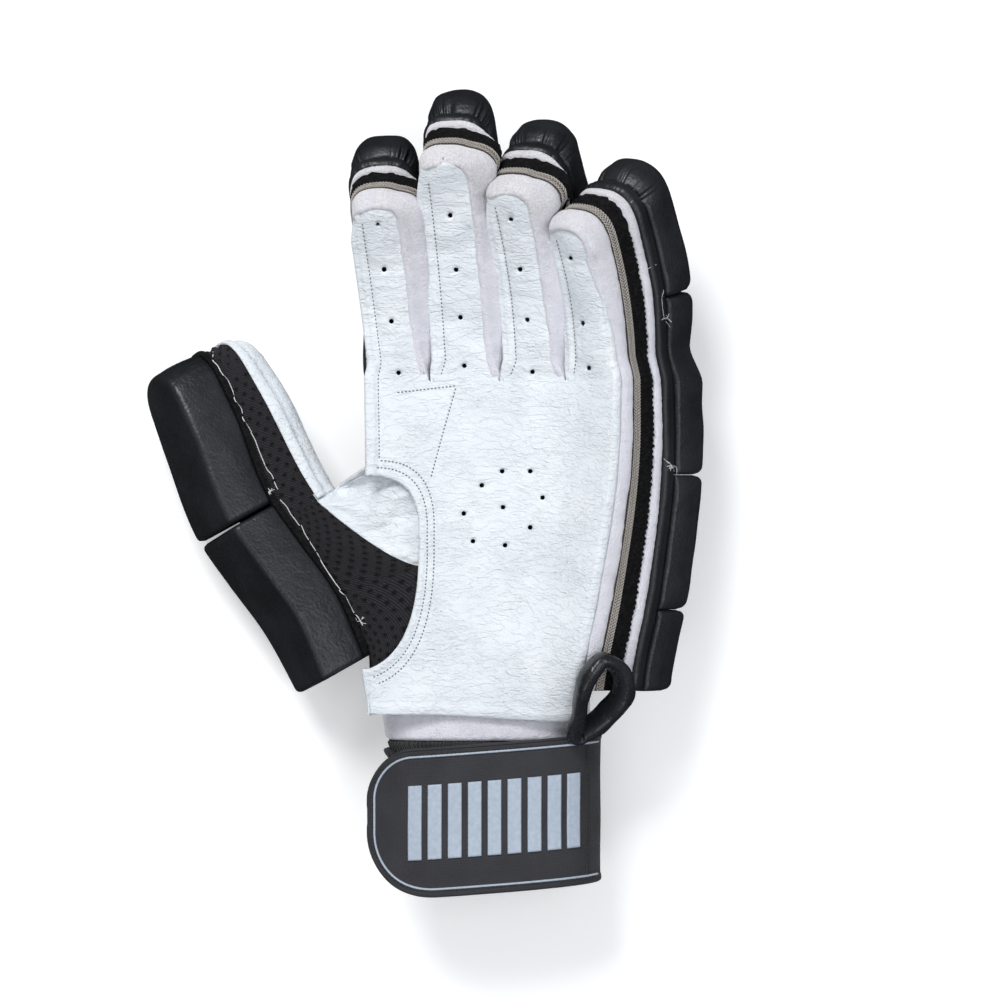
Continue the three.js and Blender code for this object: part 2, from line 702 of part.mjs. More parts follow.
// The part of the mesh that widens from the side of the thumb to the palm's opening
function thumbRoof() {
  const rows = Array.from({ length: roofSteps + 1 }, (_, i) => {
    const t = i / roofSteps;
    const s = lerp(leatherStart * thumbLength + nettingLap, 0, t);
    const outer = place(thumbFrame(s), 0, 1 - thumbMargin);
    const past = (t - roofTurn) / (1 - roofTurn);
    const far = past < 0 ? webSeam(t / roofTurn) : underPalm(lerp(webReach, roofEnd, past));
    const first = place(thumbFrame(s), 0, thumbWrap + thumbMargin);
    const inner = i === 0 ? first : far.lerp(outer, (2 * clearance) / far.distanceTo(outer));
    return acrossShares.map((u) => inner.clone().lerp(outer, u));
  });
  return sheet(net(rows), netting);
}

// The part of the mesh under the thumb, from its lower side to the back strip of the hand
function thumbFloor() {
  const rows = Array.from({ length: floorSteps + 1 }, (_, i) => {
    const t = i / floorSteps;
    const s = lerp(leatherStart * thumbLength + nettingLap, floorEnd * thumbLength, t);
    const outer = place(thumbFrame(s), 1, 1 - thumbMargin);
    const y = lerp(openingTop - seamAllowance, openingBottom + seamAllowance * floorLift, t);
    const hand = behind(handFrame(0, y - knuckleY), -1, strip / 2, overhang + clearance + netting);
    const inner = i === 0 ? place(thumbFrame(s), 1, thumbWrap + floorCorner * thumbMargin) : hand;
    return acrossShares.map((u) => outer.clone().lerp(inner, u));
  });
  return sheet(net(rows.reverse()), netting);
}

function thumbPiece(from, to, top, bottom, bevel) {
  const isTip = to === thumbLength;
  const frames = thumbFrames(from).filter((frame) => isTip || frame.s < to);
  const ends = isTip ? [] : [{ s: to, ...thumbFrame(to) }];
  const rings = [...frames, ...ends].map((frame, i, all) => {
    const atEnd = i === 0 || (!isTip && i === all.length - 1);
    const full = atEnd ? lerp(top, bottom, 1 - bevel * thumbEndDrop) : bottom;
    const corner = (side, drop, inset) => behind(frame, side, drop, overhang - inset);
    const shoulder = lerp(top, full, thumbShoulder);
    return [
      corner(1, top, 0), corner(1, shoulder, 0), corner(1, full, bevel),
      corner(-1, full, bevel), corner(-1, shoulder, 0), corner(-1, top, 0),
    ];
  });
  return loft(rings);
}

// The wrist
function cuffRing(halfWidth, halfHeight, y) {
  return Array.from({ length: cuffSegments }, (_, i) => {
    return cuffPoint(halfWidth, halfHeight, (i / cuffSegments) * 2 * Math.PI, y);
  });
}

function cuffPoint(halfWidth, halfHeight, angle, y) {
  const [c, s] = [Math.cos(angle), Math.sin(angle)];
  const power = 2 / cuffSquare;
  const x = cuffX + halfWidth * Math.sign(c) * Math.abs(c) ** power;
  const z = cuffLift + cuffHeight / 2 + halfHeight * Math.sign(s) * Math.abs(s) ** power;
  return vector(x, y, z);
}

function sleeve(y0, y1, growth, thickness) {
  const [halfWidth, halfHeight] = [cuffHalfWidth + growth, cuffHeight / 2 + growth];
  const outer = [y0, y1].map((y) => cuffRing(halfWidth, halfHeight, y));
  const inner = [y0, y1].map((y) => cuffRing(halfWidth - thickness, halfHeight - thickness, y));
  return endlessLoft(outer[0].map((_, i) => [outer[0][i], outer[1][i], inner[1][i], inner[0][i]]));
}

// The strap starts under its own free end, runs down the left side, under the wrist, up the right side
// and over the top to the left, where the free end is round
function strapBody() {
  const turn = 360 + strapOverlap;
  const reach = (turn * degree) * (cuffHalfWidth + cuffHeight / 2) / 2;
  const rings = Array.from({ length: strapSegments + 1 }, (_, i) => {
    const share = i / strapSegments;
    const angle = (strapFrom + turn * share) * degree;
    const lift = clearance + (strapWall + clearance) * share;
    const left = (1 - share) * reach;
    const short = Math.max(0, strapEndRound - left);
    const cut = strapEndRound - Math.sqrt(strapEndRound ** 2 - short ** 2);
    const [y0, y1] = [strapTop - cut, strapTop - strapWidth + cut];
    const point = (growth, y) => {
      const level = cuffPoint(cuffHalfWidth + growth, cuffHeight / 2 + growth, angle, y);
      return level.setY(y + strapSlant * (level.x - cuffX));
    };
    return [point(lift + strapWall, y0), point(lift + strapWall, y1), point(lift, y1), point(lift, y0)];
  });
  return loft(rings);
}

function pullLoop() {
  const foot = vector(cuffX + cuffHalfWidth, strapTop, cuffLift + cuffHeight);
  const curve = new THREE.CatmullRomCurve3(loopPath.map(({ x, y, z }) => vector(x, y, z).add(foot)), true);
  const rings = Array.from({ length: loopSegments }, (_, i) => {
    const point = curve.getPointAt(i / loopSegments);
    const side = curve.getTangentAt(i / loopSegments).cross(vector(0, 0, 1)).multiplyScalar(loopWall / 2);
    const up = vector(0, 0, loopHeight / 2);
    return [
      point.clone().add(side).add(up), point.clone().sub(side).add(up),
      point.clone().sub(side).sub(up), point.clone().add(side).sub(up),
    ];
  });
  return endlessLoft(rings);
}

// The glove
const glove = new THREE.Group();

function add(name, geometry, look) {
  geometry.computeVertexNormals();
  const mesh = new THREE.Mesh(geometry, new THREE.MeshStandardMaterial(looks[look]));
  mesh.name = name;
  glove.add(mesh);
}

add("palm_leather", palmLeather(), "leather");
fingers.forEach((finger, index) => {
  const walls = fingerWalls(index);
  add(`${finger.name}_gusset`, walls.gusset, "cotton");
  add(`${finger.name}_braid`, walls.braid, "braid");
  add(`${finger.name}_mesh`, walls.mesh, "mesh");
  add(`${finger.name}_base`, backStrip(index), "foam");
  rollSpans(finger).forEach((span, i) => add(`${finger.name}_pad_${i + 1}`, foamRoll(index, span), "foam"));
});

add("thumb_leather", thumbLeather(), "leather");
add("thumb_web", thumbWeb(), "leather");
add("thumb_mesh", thumbNetting(), "mesh");
add("thumb_base", thumbPiece(0, thumbLength, 0, thumbStrip, thumbStripBevel), "foam");
const thumbPad = (from, to) => thumbPiece(from, to, padTop, padTop + thumbRoll, thumbPadBevel);
const padTop = thumbStrip + clearance;
const split = thumbRollSplit * thumbLength;
add("thumb_pad_upper", thumbPad(split + groove / 2, thumbLength), "foam");
add("thumb_pad_lower", thumbPad(0, split - groove / 2), "foam");

add("cuff_band", sleeve(cuffTop, cuffEnd, 0, cuffWall), "cotton");
add("cuff_wristband", sleeve(cuffEnd - clearance, wristbandEnd, 0, cuffWall), "mesh");
add("strap", strapBody(), "strap");
add("pull_loop", pullLoop(), "foam");

const bounds = new THREE.Box3().setFromObject(glove);
const middle = bounds.getCenter(vector(0, 0, 0));
glove.position.set(-middle.x, -middle.y, -bounds.min.z);

export default glove;
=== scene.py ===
# A cricket batting glove lying on its padded back, palm up, seen from straight above.
# Lengths are millimetres until a mesh is made, in the part's own coordinates, and angles are degrees.

import math

import bmesh
import bpy
import numpy as np
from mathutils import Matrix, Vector
from mathutils.bvhtree import BVHTree
from mathutils.kdtree import KDTree


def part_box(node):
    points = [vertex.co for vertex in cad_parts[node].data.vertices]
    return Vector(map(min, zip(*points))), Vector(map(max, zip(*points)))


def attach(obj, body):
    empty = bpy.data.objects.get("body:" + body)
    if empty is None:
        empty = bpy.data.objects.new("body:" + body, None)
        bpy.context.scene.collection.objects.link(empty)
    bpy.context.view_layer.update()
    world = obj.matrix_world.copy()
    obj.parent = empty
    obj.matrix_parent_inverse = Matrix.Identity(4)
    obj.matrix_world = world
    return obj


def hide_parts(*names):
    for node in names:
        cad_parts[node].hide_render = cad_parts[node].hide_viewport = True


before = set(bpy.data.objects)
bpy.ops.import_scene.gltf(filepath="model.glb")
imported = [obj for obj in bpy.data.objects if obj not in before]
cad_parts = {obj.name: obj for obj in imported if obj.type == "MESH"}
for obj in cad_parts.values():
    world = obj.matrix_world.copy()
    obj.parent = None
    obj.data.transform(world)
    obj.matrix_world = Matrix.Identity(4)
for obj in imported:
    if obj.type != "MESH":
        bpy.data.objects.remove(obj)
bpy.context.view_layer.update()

MM = 0.001

# The part's driving sizes
CLEARANCE = 0.3
LEATHER = 1.6
COTTON = 1.7
STRIP = 6.0
ROLL = 14.2
GROOVE = 1.2
OVERHANG = 1.5
FREE_OVERHANG = 0.35
COLUMN_GAP = 0.9
PALM_WIDTH = 85.0
PALM_HEIGHT = 45.5
HAND_LENGTH = 107.5
KNUCKLE_Y = 39.0
BACK_FLOOR = STRIP + CLEARANCE + ROLL
HAND_JOINTS = [0.3, 0.74, 1.0]
TIP_ROUND = 0.95
TIP_SQUARE = 0.72
FINGER_NARROWS = 9.0
FINGER_OPENS = 14.0
FINGER_CROWN = 1.6
BRAID_FROM, BRAID_TO, MESH_TO = 0.4, 0.53, 0.82

# The hand's sections from the knuckles to the wrist. along is a share of its length and arch of the
# palm's tilt. The rest are shares of the palm's width
HAND_KEYS = ("along", "palmLeft", "palmRight", "backLeft", "backRight", "arch")
HAND_ROWS = [dict(zip(HAND_KEYS, row)) for row in (
    (0.0, -0.242, 0.758, -0.293, 0.955, 1),
    (0.22, -0.238, 0.749, -0.293, 0.96, 0.96),
    (0.71, -0.245, 0.657, -0.293, 0.895, 0.8),
    (1.0, -0.238, 0.58, -0.282, 0.83, 0.5),
    (1.08, -0.238, 0.555, -0.282, 0.83, 0.05),
)]
HAND_END = HAND_ROWS[-1]["along"] * HAND_LENGTH

FINGERS = [
    {
        "name": "index", "palmShare": 0.24, "palmTilt": 0, "backShare": 0.25, "backTilt": 0,
        "length": 66, "width": 17.6, "backWidth": 21.6, "depth": 23, "leanBase": 7, "leanTip": 8,
        "curl": 37, "rollTip": 8, "joints": [0.13, 0.53], "vents": [0.05, 0.33, 0.62, 0.88],
    },
    {
        "name": "middle", "palmShare": 0.27, "palmTilt": 3, "backShare": 0.25, "backTilt": 0,
        "length": 82, "width": 19.6, "backWidth": 22, "depth": 23, "leanBase": 3, "leanTip": 8,
        "curl": 39, "rollTip": 12, "joints": [0.13, 0.52], "vents": [0.07, 0.28, 0.49, 0.74],
    },
    {
        "name": "ring", "palmShare": 0.26, "palmTilt": 12, "backShare": 0.25, "backTilt": 12,
        "length": 71, "width": 17.8, "backWidth": 22, "depth": 23, "leanBase": 2, "leanTip": 15,
        "curl": 37, "rollTip": 27, "joints": [0.13, 0.52], "vents": [0.05, 0.31, 0.57, 0.84],
    },
    {
        "name": "little", "palmShare": 0.23, "palmTilt": 38, "backShare": 0.25, "backTilt": 48,
        "length": 57, "width": 18, "backWidth": 22.5, "depth": 23, "leanBase": 1, "leanTip": 19,
        "curl": 31, "rollTip": 47, "joints": [0.4], "vents": [0.08, 0.36, 0.78],
    },
]

# The thumb. Its rows are shares of its length and of its width
THUMB_LENGTH = 121.0
THUMB_WIDTH = 33.0
THUMB_LEAN = 29.3
THUMB_TILT = 25.0
THUMB_TIP = (-74.5, 52.0, 18.6)
THUMB_STRIP = 2.2
THUMB_ROLL = 17.5
THUMB_WRAP = 0.44
THUMB_SPLIT = 0.52
THUMB_CROWN = 3.6
LEATHER_START = 0.47
NETTING = 1.6
THUMB_CORNER = 6.5
THUMB_ROWS = [dict(zip(("along", "front", "back", "width"), row)) for row in (
    (0.0, 0.27, 0.4, 0.82), (0.21, 0.25, 0.36, 1.0), (0.38, 0.23, 0.44, 1.02),
    (0.53, 0.22, 0.5, 1.02), (0.8, 0.29, 0.36, 0.98), (1.0, 0.27, 0.26, 0.76),
)]
THUMB_HALF_TIP = THUMB_ROWS[-1]["width"] * THUMB_WIDTH / 2

# The thumb's opening in the palm, and the web and the netting that close it
OPENING_TOP = 6.2
OPENING_BOTTOM = -61.0
OPENING_REACH = -3.2
OPENING_MIDDLE = -20.0
OPENING_PAST = 1.6
SEAM_ALLOWANCE = 2.6
WEB_START, WEB_REACH = 0.16, 0.5
WEB_SEAM_END, WEB_SEAM_WRAP, WEB_SEAM_BEND = 0.2, 0.6, 1.3
WEB_FOLD, WEB_SAG = 1.4, 1.2
ROOF_END, ROOF_TURN = 0.84, 0.6
FLOOR_END, FLOOR_CORNER, FLOOR_LIFT = 0.12, 4, 4

# The air holes in the palm: shares of its width and of the hand's length
VENT_RADIUS = 0.85
VENT_PRESSED = 0.25
PALM_VENTS = [
    [0.305, 0.289], [0.42, 0.289], [0.222, 0.335], [0.47, 0.374], [0.309, 0.406],
    [0.148, 0.426], [0.42, 0.471], [0.185, 0.516], [0.317, 0.529],
]

# The cuff and the strap
CUFF_HALF_WIDTH = 36.4
CUFF_WALL = 2.2
CUFF_X = 20.6
CUFF_LIFT = 5.4
CUFF_HEIGHT = PALM_HEIGHT - LEATHER - 2 * CLEARANCE - CUFF_LIFT
CUFF_TOP = -69.6
CUFF_END = -86.4
WRISTBAND_END = -126.0
CUFF_SQUARE = 2.6
CUFF_DRAW = 9.0
STRAP_TOP = -86.9
STRAP_WIDTH = 52.5
STRAP_SLANT = 0.077
STRAP_WALL = 2.4
STRAP_FROM = 160.0
STRAP_OVERLAP = 22.0

# The pull loop, from where the strap's upper edge meets the right end of the cuff
LOOP_PATH = [
    (-4.8, 3.5, 1.7), (-4.2, 10.9, 9.2), (-2.5, 21.4, 18.2), (3.2, 29.4, 17.7),
    (9.8, 25.4, 13.2), (10.6, 17.4, 8.2), (5.5, 10.4, 3.7), (0.0, 5.7, 1.2),
]
LOOP_WALL = 2.0
LOOP_HEIGHT = 9.0

# Where the part's own origin lies in the frame
cuff_low, cuff_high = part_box("cuff_band")
SHIFT = np.array([
    (cuff_low.x + cuff_high.x) / 2 - CUFF_X * MM,
    cuff_high.y - CUFF_TOP * MM,
    cuff_low.z - CUFF_LIFT * MM,
])

# Photograph: the pixel where the part's own origin shows, millimetres for one pixel, and its side in pixels
ORIGIN_PIXEL = (428, 494)
PIXEL = 0.35
PHOTO = 1000

# The leather: how far it folds in between two fingers and lies inside a tip, over what length its lap on
# the little finger runs out, how far its left edge spreads at the hem, and how thick the sheet is
FOLD_IN = 0.6
TIP_LAP = 0.2
LAP_RUN_OUT = 36
HEM_SPREAD = 1.2
LEATHER_SHEET = 1.3

# How far the back of the hand is drawn in beside the palm, under the index finger
HAND_TUCK = 5.0

# The finger walls: the step between stations, the gap that they leave to the next finger, the most that
# they fill out, and how far they are held back under the next finger's leather
WALL_STEP = 0.7
WALL_GAP, WALL_SWELL, WALL_HELD = 1.8, 5.5, 2.0

# The leather's seam on the left of a finger, beyond the column's side: how far out and how far up
BEAD = [(0.75, 0.45), (1.35, 0.0), (1.65, -0.8), (1.6, -1.7), (1.1, -2.6)]

# The leather over the little finger's right side: share of the depth and how far out
WRAP = [(0.025, 0.55), (0.055, 0.85), (0.09, 1.0), (0.12, 0.85), (0.135, 0.1)]

# The towelling wall's outline from the leather to the back strip: share of the depth, how far it stands
# out, how far it rises, and how much of that belongs to the roll along the leather
GUSSET_PROFILE = [
    (0.0, -2.9, -1.4, 0), (0.0, -2.5, 0.2, 0.5), (0.0, -1.5, 1.3, 1), (0.01, 0.0, 1.2, 1),
    (0.08, 1.3, 0.3, 1), (0.17, 1.9, 0, 1), (0.27, 1.6, 0, 1), (0.355, 0.7, 0, 0.7), (0.4, 0.0, 0, 0),
    (0.53, -0.2, 0, 0), (0.8, -0.1, 0, 0), (0.84, 0.7, 0, 0), (0.9, 1.1, 0, 0), (0.96, 0.9, 0, 0),
    (1.0, 0.0, 0, 0),
]

# The knitted tapes start a little above the knuckles. The braid has chains of two twisted strands
TAPE_START = 5.0
BRAID_CHAINS, BRAID_PITCH, BRAID_YARN = 2, 2.2, 0.24

# How far two rolls reach towards each other beyond the solids' groove
ROLL_MEETS = 0.5

# How far apart the netting's holes are, across and along
NET_ACROSS, NET_ALONG = 4.2, 2.9

# The strap's free end lies flat: how much of it is free, where it ends and how far it drops
TONGUE_FREE = 34.0
TONGUE_TIP = (370.5 - ORIGIN_PIXEL[0]) * PIXEL
TONGUE_DROP = 5.0

# The strap's corners at the free end: their length along the upper edge, along the lower edge, and the
# width that the lower one takes
CORNER_UPPER, CORNER_LOWER, CORNER_DEPTH = 17.0, 26.0, 24.0

# The strap's light line and the stitches outside it: from the edge and how far along, then the stitches
# across the strap
LINE_INSET, STITCH_INSET, LINE_REACH = 3.0, 2.25, 84.0
CROSS_STITCHES = 78.0

# The strap's printed bars: how many, from where to where along it, and from where to where across
BARS = 9
BARS_ALONG = (14.5, 76.0)
BARS_ACROSS = (13.0, 39.0)

# The stitches of the palm: how far their rows lie from the thumb's opening and from a finger's left side,
# and their pitch, length and radius
OPENING_SEAMS = (3.0, 5.4)
SEAM_INSET = 3.3
PALM_STITCH = (1.3, 0.66, 0.25)

# The flat sizes of the sheets, the flat areas of those that aren't rectangles, and the gussets' width
PALM_CUT, PALM_CUT_AREA = (96, 215), 15500
THUMB_CUT, THUMB_CUT_AREA = (56, 70), 3350
NETTING_CUT, NETTING_CUT_AREA = (90, 120), 4900
WEB_CUT = (30, 42)
GUSSET_CUT = 30

# How high the rays start that are cast down onto the glove, in metres
ABOVE = 0.3


# Small helpers

def lerp(a, b, t):
    """From a to b as t goes from 0 to 1."""
    return a + (b - a) * t


def smooth(t):
    """0 below 0, 1 above 1 and a soft rise between."""
    held = np.clip(t, 0, 1)
    return held * held * (3 - 2 * held)


def bump_at(distance, width):
    """A round ridge of height 1 and about that width."""
    return np.exp(-((distance / width) ** 2))


def unit(vectors):
    """The same directions with a length of 1."""
    return vectors / np.linalg.norm(vectors, axis=-1, keepdims=True)


def from_pixels(points):
    """Places in the photograph as x and y."""
    points = np.array(points, float)
    return (points - ORIGIN_PIXEL) * (PIXEL, -PIXEL)


def noise(x, y, seed):
    """Smooth random heights from -1 to 1, with a lump about every unit."""
    size = 64
    table = np.random.default_rng(seed).uniform(-1, 1, (size, size))
    x, y = np.broadcast_arrays(x, y)
    i, j = np.floor(x).astype(int), np.floor(y).astype(int)
    tx, ty = smooth(x - i), smooth(y - j)
    low = lerp(table[i % size, j % size], table[(i + 1) % size, j % size], tx)
    high = lerp(table[i % size, (j + 1) % size], table[(i + 1) % size, (j + 1) % size], tx)
    return lerp(low, high, ty)


def curve(a, b, c, d, t):
    """A smooth curve from b to c that follows on from a and leads to d."""
    return 0.5 * (2 * b + (c - a) * t + (2 * a - 5 * b + 4 * c - d) * t**2 + (3 * b - a - 3 * c + d) * t**3)


def curve_through(points, count, closed=False):
    """A smooth line through a few points, in even steps."""
    points = np.array(points, float)
    if closed:
        points = np.concatenate([points[-1:], points, points[:2]])
    else:
        points = np.concatenate([2 * points[:1] - points[1:2], points, 2 * points[-1:] - points[-2:-1]])
    steps = np.linspace(0, 1, 24, endpoint=False)[:, None]
    line = [curve(*four, steps) for four in zip(points, points[1:], points[2:], points[3:])]
    line = np.concatenate(line + [points[-2:-1]])
    return resample(line, count + 1 if closed else count)[: count]


def resample(line, count):
    """The same line in even steps."""
    run = arc_length(line)
    return at_run(line, run, np.linspace(0, run[-1], count))


def at_run(line, run, at):
    """The places on a line where its running length, or another one, has the values at."""
    return np.stack([np.interp(at, run, line[:, k]) for k in range(line.shape[1])], 1)


def arc_length(line):
    """How far along a line each of its points lies."""
    steps = np.linalg.norm(np.diff(line, axis=0), axis=1)
    return np.concatenate([[0], np.cumsum(steps)])


def table_at(rows, along):
    """A table of sections read at any places along it, smoothly."""
    at = np.array([row["along"] for row in rows])
    along = np.clip(along, at[0], at[-1])
    i = np.clip(np.searchsorted(at, along) - 1, 0, len(at) - 2)
    span = at[i + 1] - at[i]
    t = (along - at[i]) / span
    read = {}
    for key in rows[0]:
        y = np.array([row[key] for row in rows], float)
        slope = np.gradient(y, at)
        read[key] = (
            y[i] * (1 + 2 * t) * (1 - t) ** 2 + slope[i] * span * t * (1 - t) ** 2
            + y[i + 1] * t**2 * (3 - 2 * t) + slope[i + 1] * span * t**2 * (t - 1)
        )
    return read


# Sections

class Sections:
    """Sections along a strip, one to a row. A section has a front line and a back line between its sides."""

    def __init__(self, **values):
        self.__dict__.update(values)
        count = len(self.s)
        for name in ("along", "across", "out"):
            setattr(self, name, np.broadcast_to(getattr(self, name), (count, 3)))
        if not hasattr(self, "turn"):
            self.turn = np.zeros(count)

    def join(self, other):
        """These sections with others after them."""
        names = ("s", "front", "along", "across", "out", "edge", "back", "turn")
        both = {name: np.concatenate([getattr(self, name), getattr(other, name)]) for name in names}
        return Sections(**both)

    def line(self, u, v):
        """How far each place lies across and out from the middle of its front line."""
        spread = 0.5 + (u - 0.5) * (np.cos(self.turn) ** TIP_SQUARE)[:, None]
        found = []
        for k in (0, 1):
            front = lerp(self.edge[:, 0, k, None], self.edge[:, 1, k, None], spread)
            back = lerp(self.back[:, 0, k, None], self.back[:, 1, k, None], spread)
            found.append(lerp(front, back, v))
        return found

    def place(self, u, v, push=0.0, rise=0.0):
        """u runs from the left side to the right, v from the front line to the back line. push moves a
        place outwards from its side and round the tip, and rise moves it forwards."""
        u, v, push, rise = np.broadcast_arrays(u, v, push, rise, np.zeros((len(self.s), 1)))[:4]
        b, n = self.line(u, v)
        b = b + np.where(u < 0.5, -1, 1) * push * np.cos(self.turn)[:, None]
        ahead = push * np.sin(self.turn)[:, None]
        return (self.front[:, None] + b[..., None] * self.across[:, None]
                + ahead[..., None] * self.along[:, None] + (n + rise)[..., None] * self.out[:, None])

    def behind(self, u, drop, push_left, push_right):
        """A place drop millimetres behind the back line, the sides pushed out by their own amounts."""
        shape = np.zeros((len(self.s), 1))
        u, drop, push_left, push_right = np.broadcast_arrays(u, drop, push_left, push_right, shape)[:4]
        left, right = self.place(0.0, 1.0)[:, 0], self.place(1.0, 1.0)[:, 0]
        step = self.back[:, 1] - self.back[:, 0]
        across = unit(step[:, 0, None] * self.across + step[:, 1, None] * self.out)
        out = np.cross(across, self.along)
        middle = lerp(left[:, None], right[:, None], u[..., None])
        sideways = lerp(-push_left, push_right, u) * np.cos(self.turn)[:, None]
        ahead = lerp(push_left, push_right, u) * np.sin(self.turn)[:, None]
        return (middle + sideways[..., None] * across[:, None] + ahead[..., None] * self.along[:, None]
                - drop[..., None] * out[:, None])


def section_line(left, right, height, share, tilt, keep):
    """The five points where the columns meet along one line of each hand section, as x and z."""
    turned = np.radians([finger[tilt] for finger in FINGERS]) * keep[:, None]
    shares = np.array([finger[share] for finger in FINGERS])
    steps = (right - left)[:, None] * PALM_WIDTH / (shares * np.cos(turned)).sum(1)[:, None] * shares
    zero = np.zeros((len(left), 1))
    x = left[:, None] * PALM_WIDTH + np.concatenate([zero, np.cumsum(steps * np.cos(turned), 1)], 1)
    z = height + np.concatenate([zero, np.cumsum(steps * np.sin(turned), 1)], 1)
    return np.stack([x, z], -1)


def palm_line(s):
    """The points where the columns meet along the palm."""
    row = table_at(HAND_ROWS, -s / HAND_LENGTH)
    return section_line(row["palmLeft"], row["palmRight"], PALM_HEIGHT, "palmShare", "palmTilt", row["arch"])


def hand_sections(index, s):
    """The sections of a column in the hand, where s runs from its end below 0 to the knuckles at 0."""
    row = table_at(HAND_ROWS, -s / HAND_LENGTH)
    palm = palm_line(s)
    full = np.ones(len(s))
    back = section_line(row["backLeft"], row["backRight"], BACK_FLOOR, "backShare", "backTilt", full)

    def at(points):
        return np.stack([points[:, 0], KNUCKLE_Y + s, points[:, 1]], -1)

    left, right = at(palm[:, index]), at(palm[:, index + 1])
    front = (left + right) / 2
    across = unit(right - left)
    out = np.stack([-across[:, 2], np.zeros(len(s)), across[:, 0]], -1)

    def local(points):
        offset = at(points) - front
        return np.stack([(offset * across).sum(1), (offset * out).sum(1)], -1)

    edge = np.stack([local(palm[:, index]), local(palm[:, index + 1])], 1)
    back = np.stack([local(back[:, index]), local(back[:, index + 1])], 1)
    return Sections(s=s, front=front, along=(0, 1, 0), across=across, out=out, edge=edge, back=back)


def finger_axes(finger, base, t, ease=1.0):
    """A finger's axes at shares of its length: along it, across it and out of its front."""
    lean = np.radians(lerp(finger["leanBase"], finger["leanTip"], t)) * ease
    pitch = np.radians(finger["curl"] * t)
    turn = lerp(base, math.radians(finger["rollTip"]), smooth(t * 2))
    along = np.stack([-np.sin(lean) * np.cos(pitch), np.cos(lean) * np.cos(pitch), np.sin(pitch)], -1)
    up = np.stack([np.sin(lean) * np.sin(pitch), -np.cos(lean) * np.sin(pitch), np.cos(pitch)], -1)
    side = np.cross(along, up)
    cos, sin = np.cos(turn)[..., None], np.sin(turn)[..., None]
    return along, side * cos + up * sin, up * cos - side * sin


def finger_sections(index, s, turn):
    """The sections of a bent finger, which start from the hand's last section."""
    finger = FINGERS[index]
    knuckle = hand_sections(index, np.zeros(1))
    base = math.atan2(knuckle.across[0, 2], knuckle.across[0, 0])
    steps = 24
    t = (np.arange(steps) + 0.5) / steps * (s / finger["length"])[:, None]
    spine = finger_axes(finger, base, t)[0]
    front = knuckle.front + (spine * (s / steps)[:, None, None]).sum(1)
    along, across, out = finger_axes(finger, base, s / finger["length"], smooth(s / FINGER_NARROWS))
    own = smooth(s / FINGER_NARROWS)[:, None]
    half, back_half = finger["width"] / 2, finger["backWidth"] / 2
    edge = np.stack([
        lerp(knuckle.edge[:, 0], np.array([-half, 0]), own),
        lerp(knuckle.edge[:, 1], np.array([half, 0]), own),
    ], 1)
    back = np.stack([
        lerp(knuckle.back[:, 0], np.array([-back_half, -finger["depth"]]), own),
        lerp(knuckle.back[:, 1], np.array([back_half, -finger["depth"]]), own),
    ], 1)
    return Sections(s=s, front=front, along=along, across=across, out=out, edge=edge, back=back, turn=turn)


def column_sections(index, s, turn=None):
    """Sections s millimetres from the knuckles, with the hand below 0. s has to be in two runs at most:
    first the hand and then the finger, or the other way round."""
    s = np.asarray(s, float)
    turn = np.zeros(len(s)) if turn is None else turn
    parts = []
    start = 0
    for end in [*(np.flatnonzero(np.diff(s <= 0)) + 1), len(s)]:
        run, turned = s[start:end], turn[start:end]
        parts.append(hand_sections(index, run) if run[0] <= 0 else finger_sections(index, run, turned))
        start = end
    joined = parts[0]
    for part in parts[1:]:
        joined = joined.join(part)
    return joined


def thumb_sections(s, turn=None):
    """The sections of the thumb, which is straight and lies turned on its side."""
    s = np.asarray(s, float)
    row = table_at(THUMB_ROWS, s / THUMB_LENGTH)
    lean, tilt = math.radians(THUMB_LEAN), math.radians(THUMB_TILT)
    along = np.array([-math.sin(lean), math.cos(lean), 0])
    right = np.array([math.cos(lean), math.sin(lean), 0])
    up = np.array([0, 0, 1])
    out = right * math.cos(tilt) - up * math.sin(tilt)
    across = -right * math.sin(tilt) - up * math.cos(tilt)
    axis = np.array(THUMB_TIP) + (s - THUMB_LENGTH)[:, None] * along
    half = row["width"] * THUMB_WIDTH / 2
    depth = (row["front"] + row["back"]) * THUMB_WIDTH
    zero = np.zeros(len(s))
    edge = np.stack([np.stack([-half, zero], 1), np.stack([half, zero], 1)], 1)
    back = np.stack([np.stack([-half, -depth], 1), np.stack([half, -depth], 1)], 1)
    front = axis + (row["front"] * THUMB_WIDTH)[:, None] * out
    return Sections(s=s, front=front, along=along, across=across, out=out, edge=edge, back=back,
                    turn=zero if turn is None else turn)


def with_round_tip(start, length, half, step, tip_steps=14):
    """Stations along a strip whose end is round, and how far each has turned round the tip."""
    radius = half * TIP_ROUND
    straight = np.linspace(start, length - radius, max(2, round((length - radius - start) / step)))
    turn = np.radians(np.linspace(0, 90, tip_steps)[1:])
    s = np.concatenate([straight, length - radius + radius * np.sin(turn) ** TIP_SQUARE])
    return s, np.concatenate([np.zeros(len(straight)), turn])


def round_wall(stations_left, stations_right):
    """Stations up the left side, round the tip and down the right side, with the side each is on."""
    (s_left, turn_left), (s_right, turn_right) = stations_left, stations_right
    s = np.concatenate([s_left, s_right[-2::-1]])
    turn = np.concatenate([turn_left, turn_right[-2::-1]])
    side = np.concatenate([np.zeros(len(s_left)), np.ones(len(s_right) - 1)])
    return s, turn, side


def gap_beside(index, s):
    """The free width between a finger's right side and the next finger, seen from above."""
    own = column_sections(index, s).place(1.0, 0.0)[:, 0, :2]
    others = np.linspace(0.0, FINGERS[index + 1]["length"] * 0.93, 90)
    other = column_sections(index + 1, others).place(0.0, 0.0)[:, 0, :2]
    return np.linalg.norm(own[:, None] - other[None], axis=2).min(1)


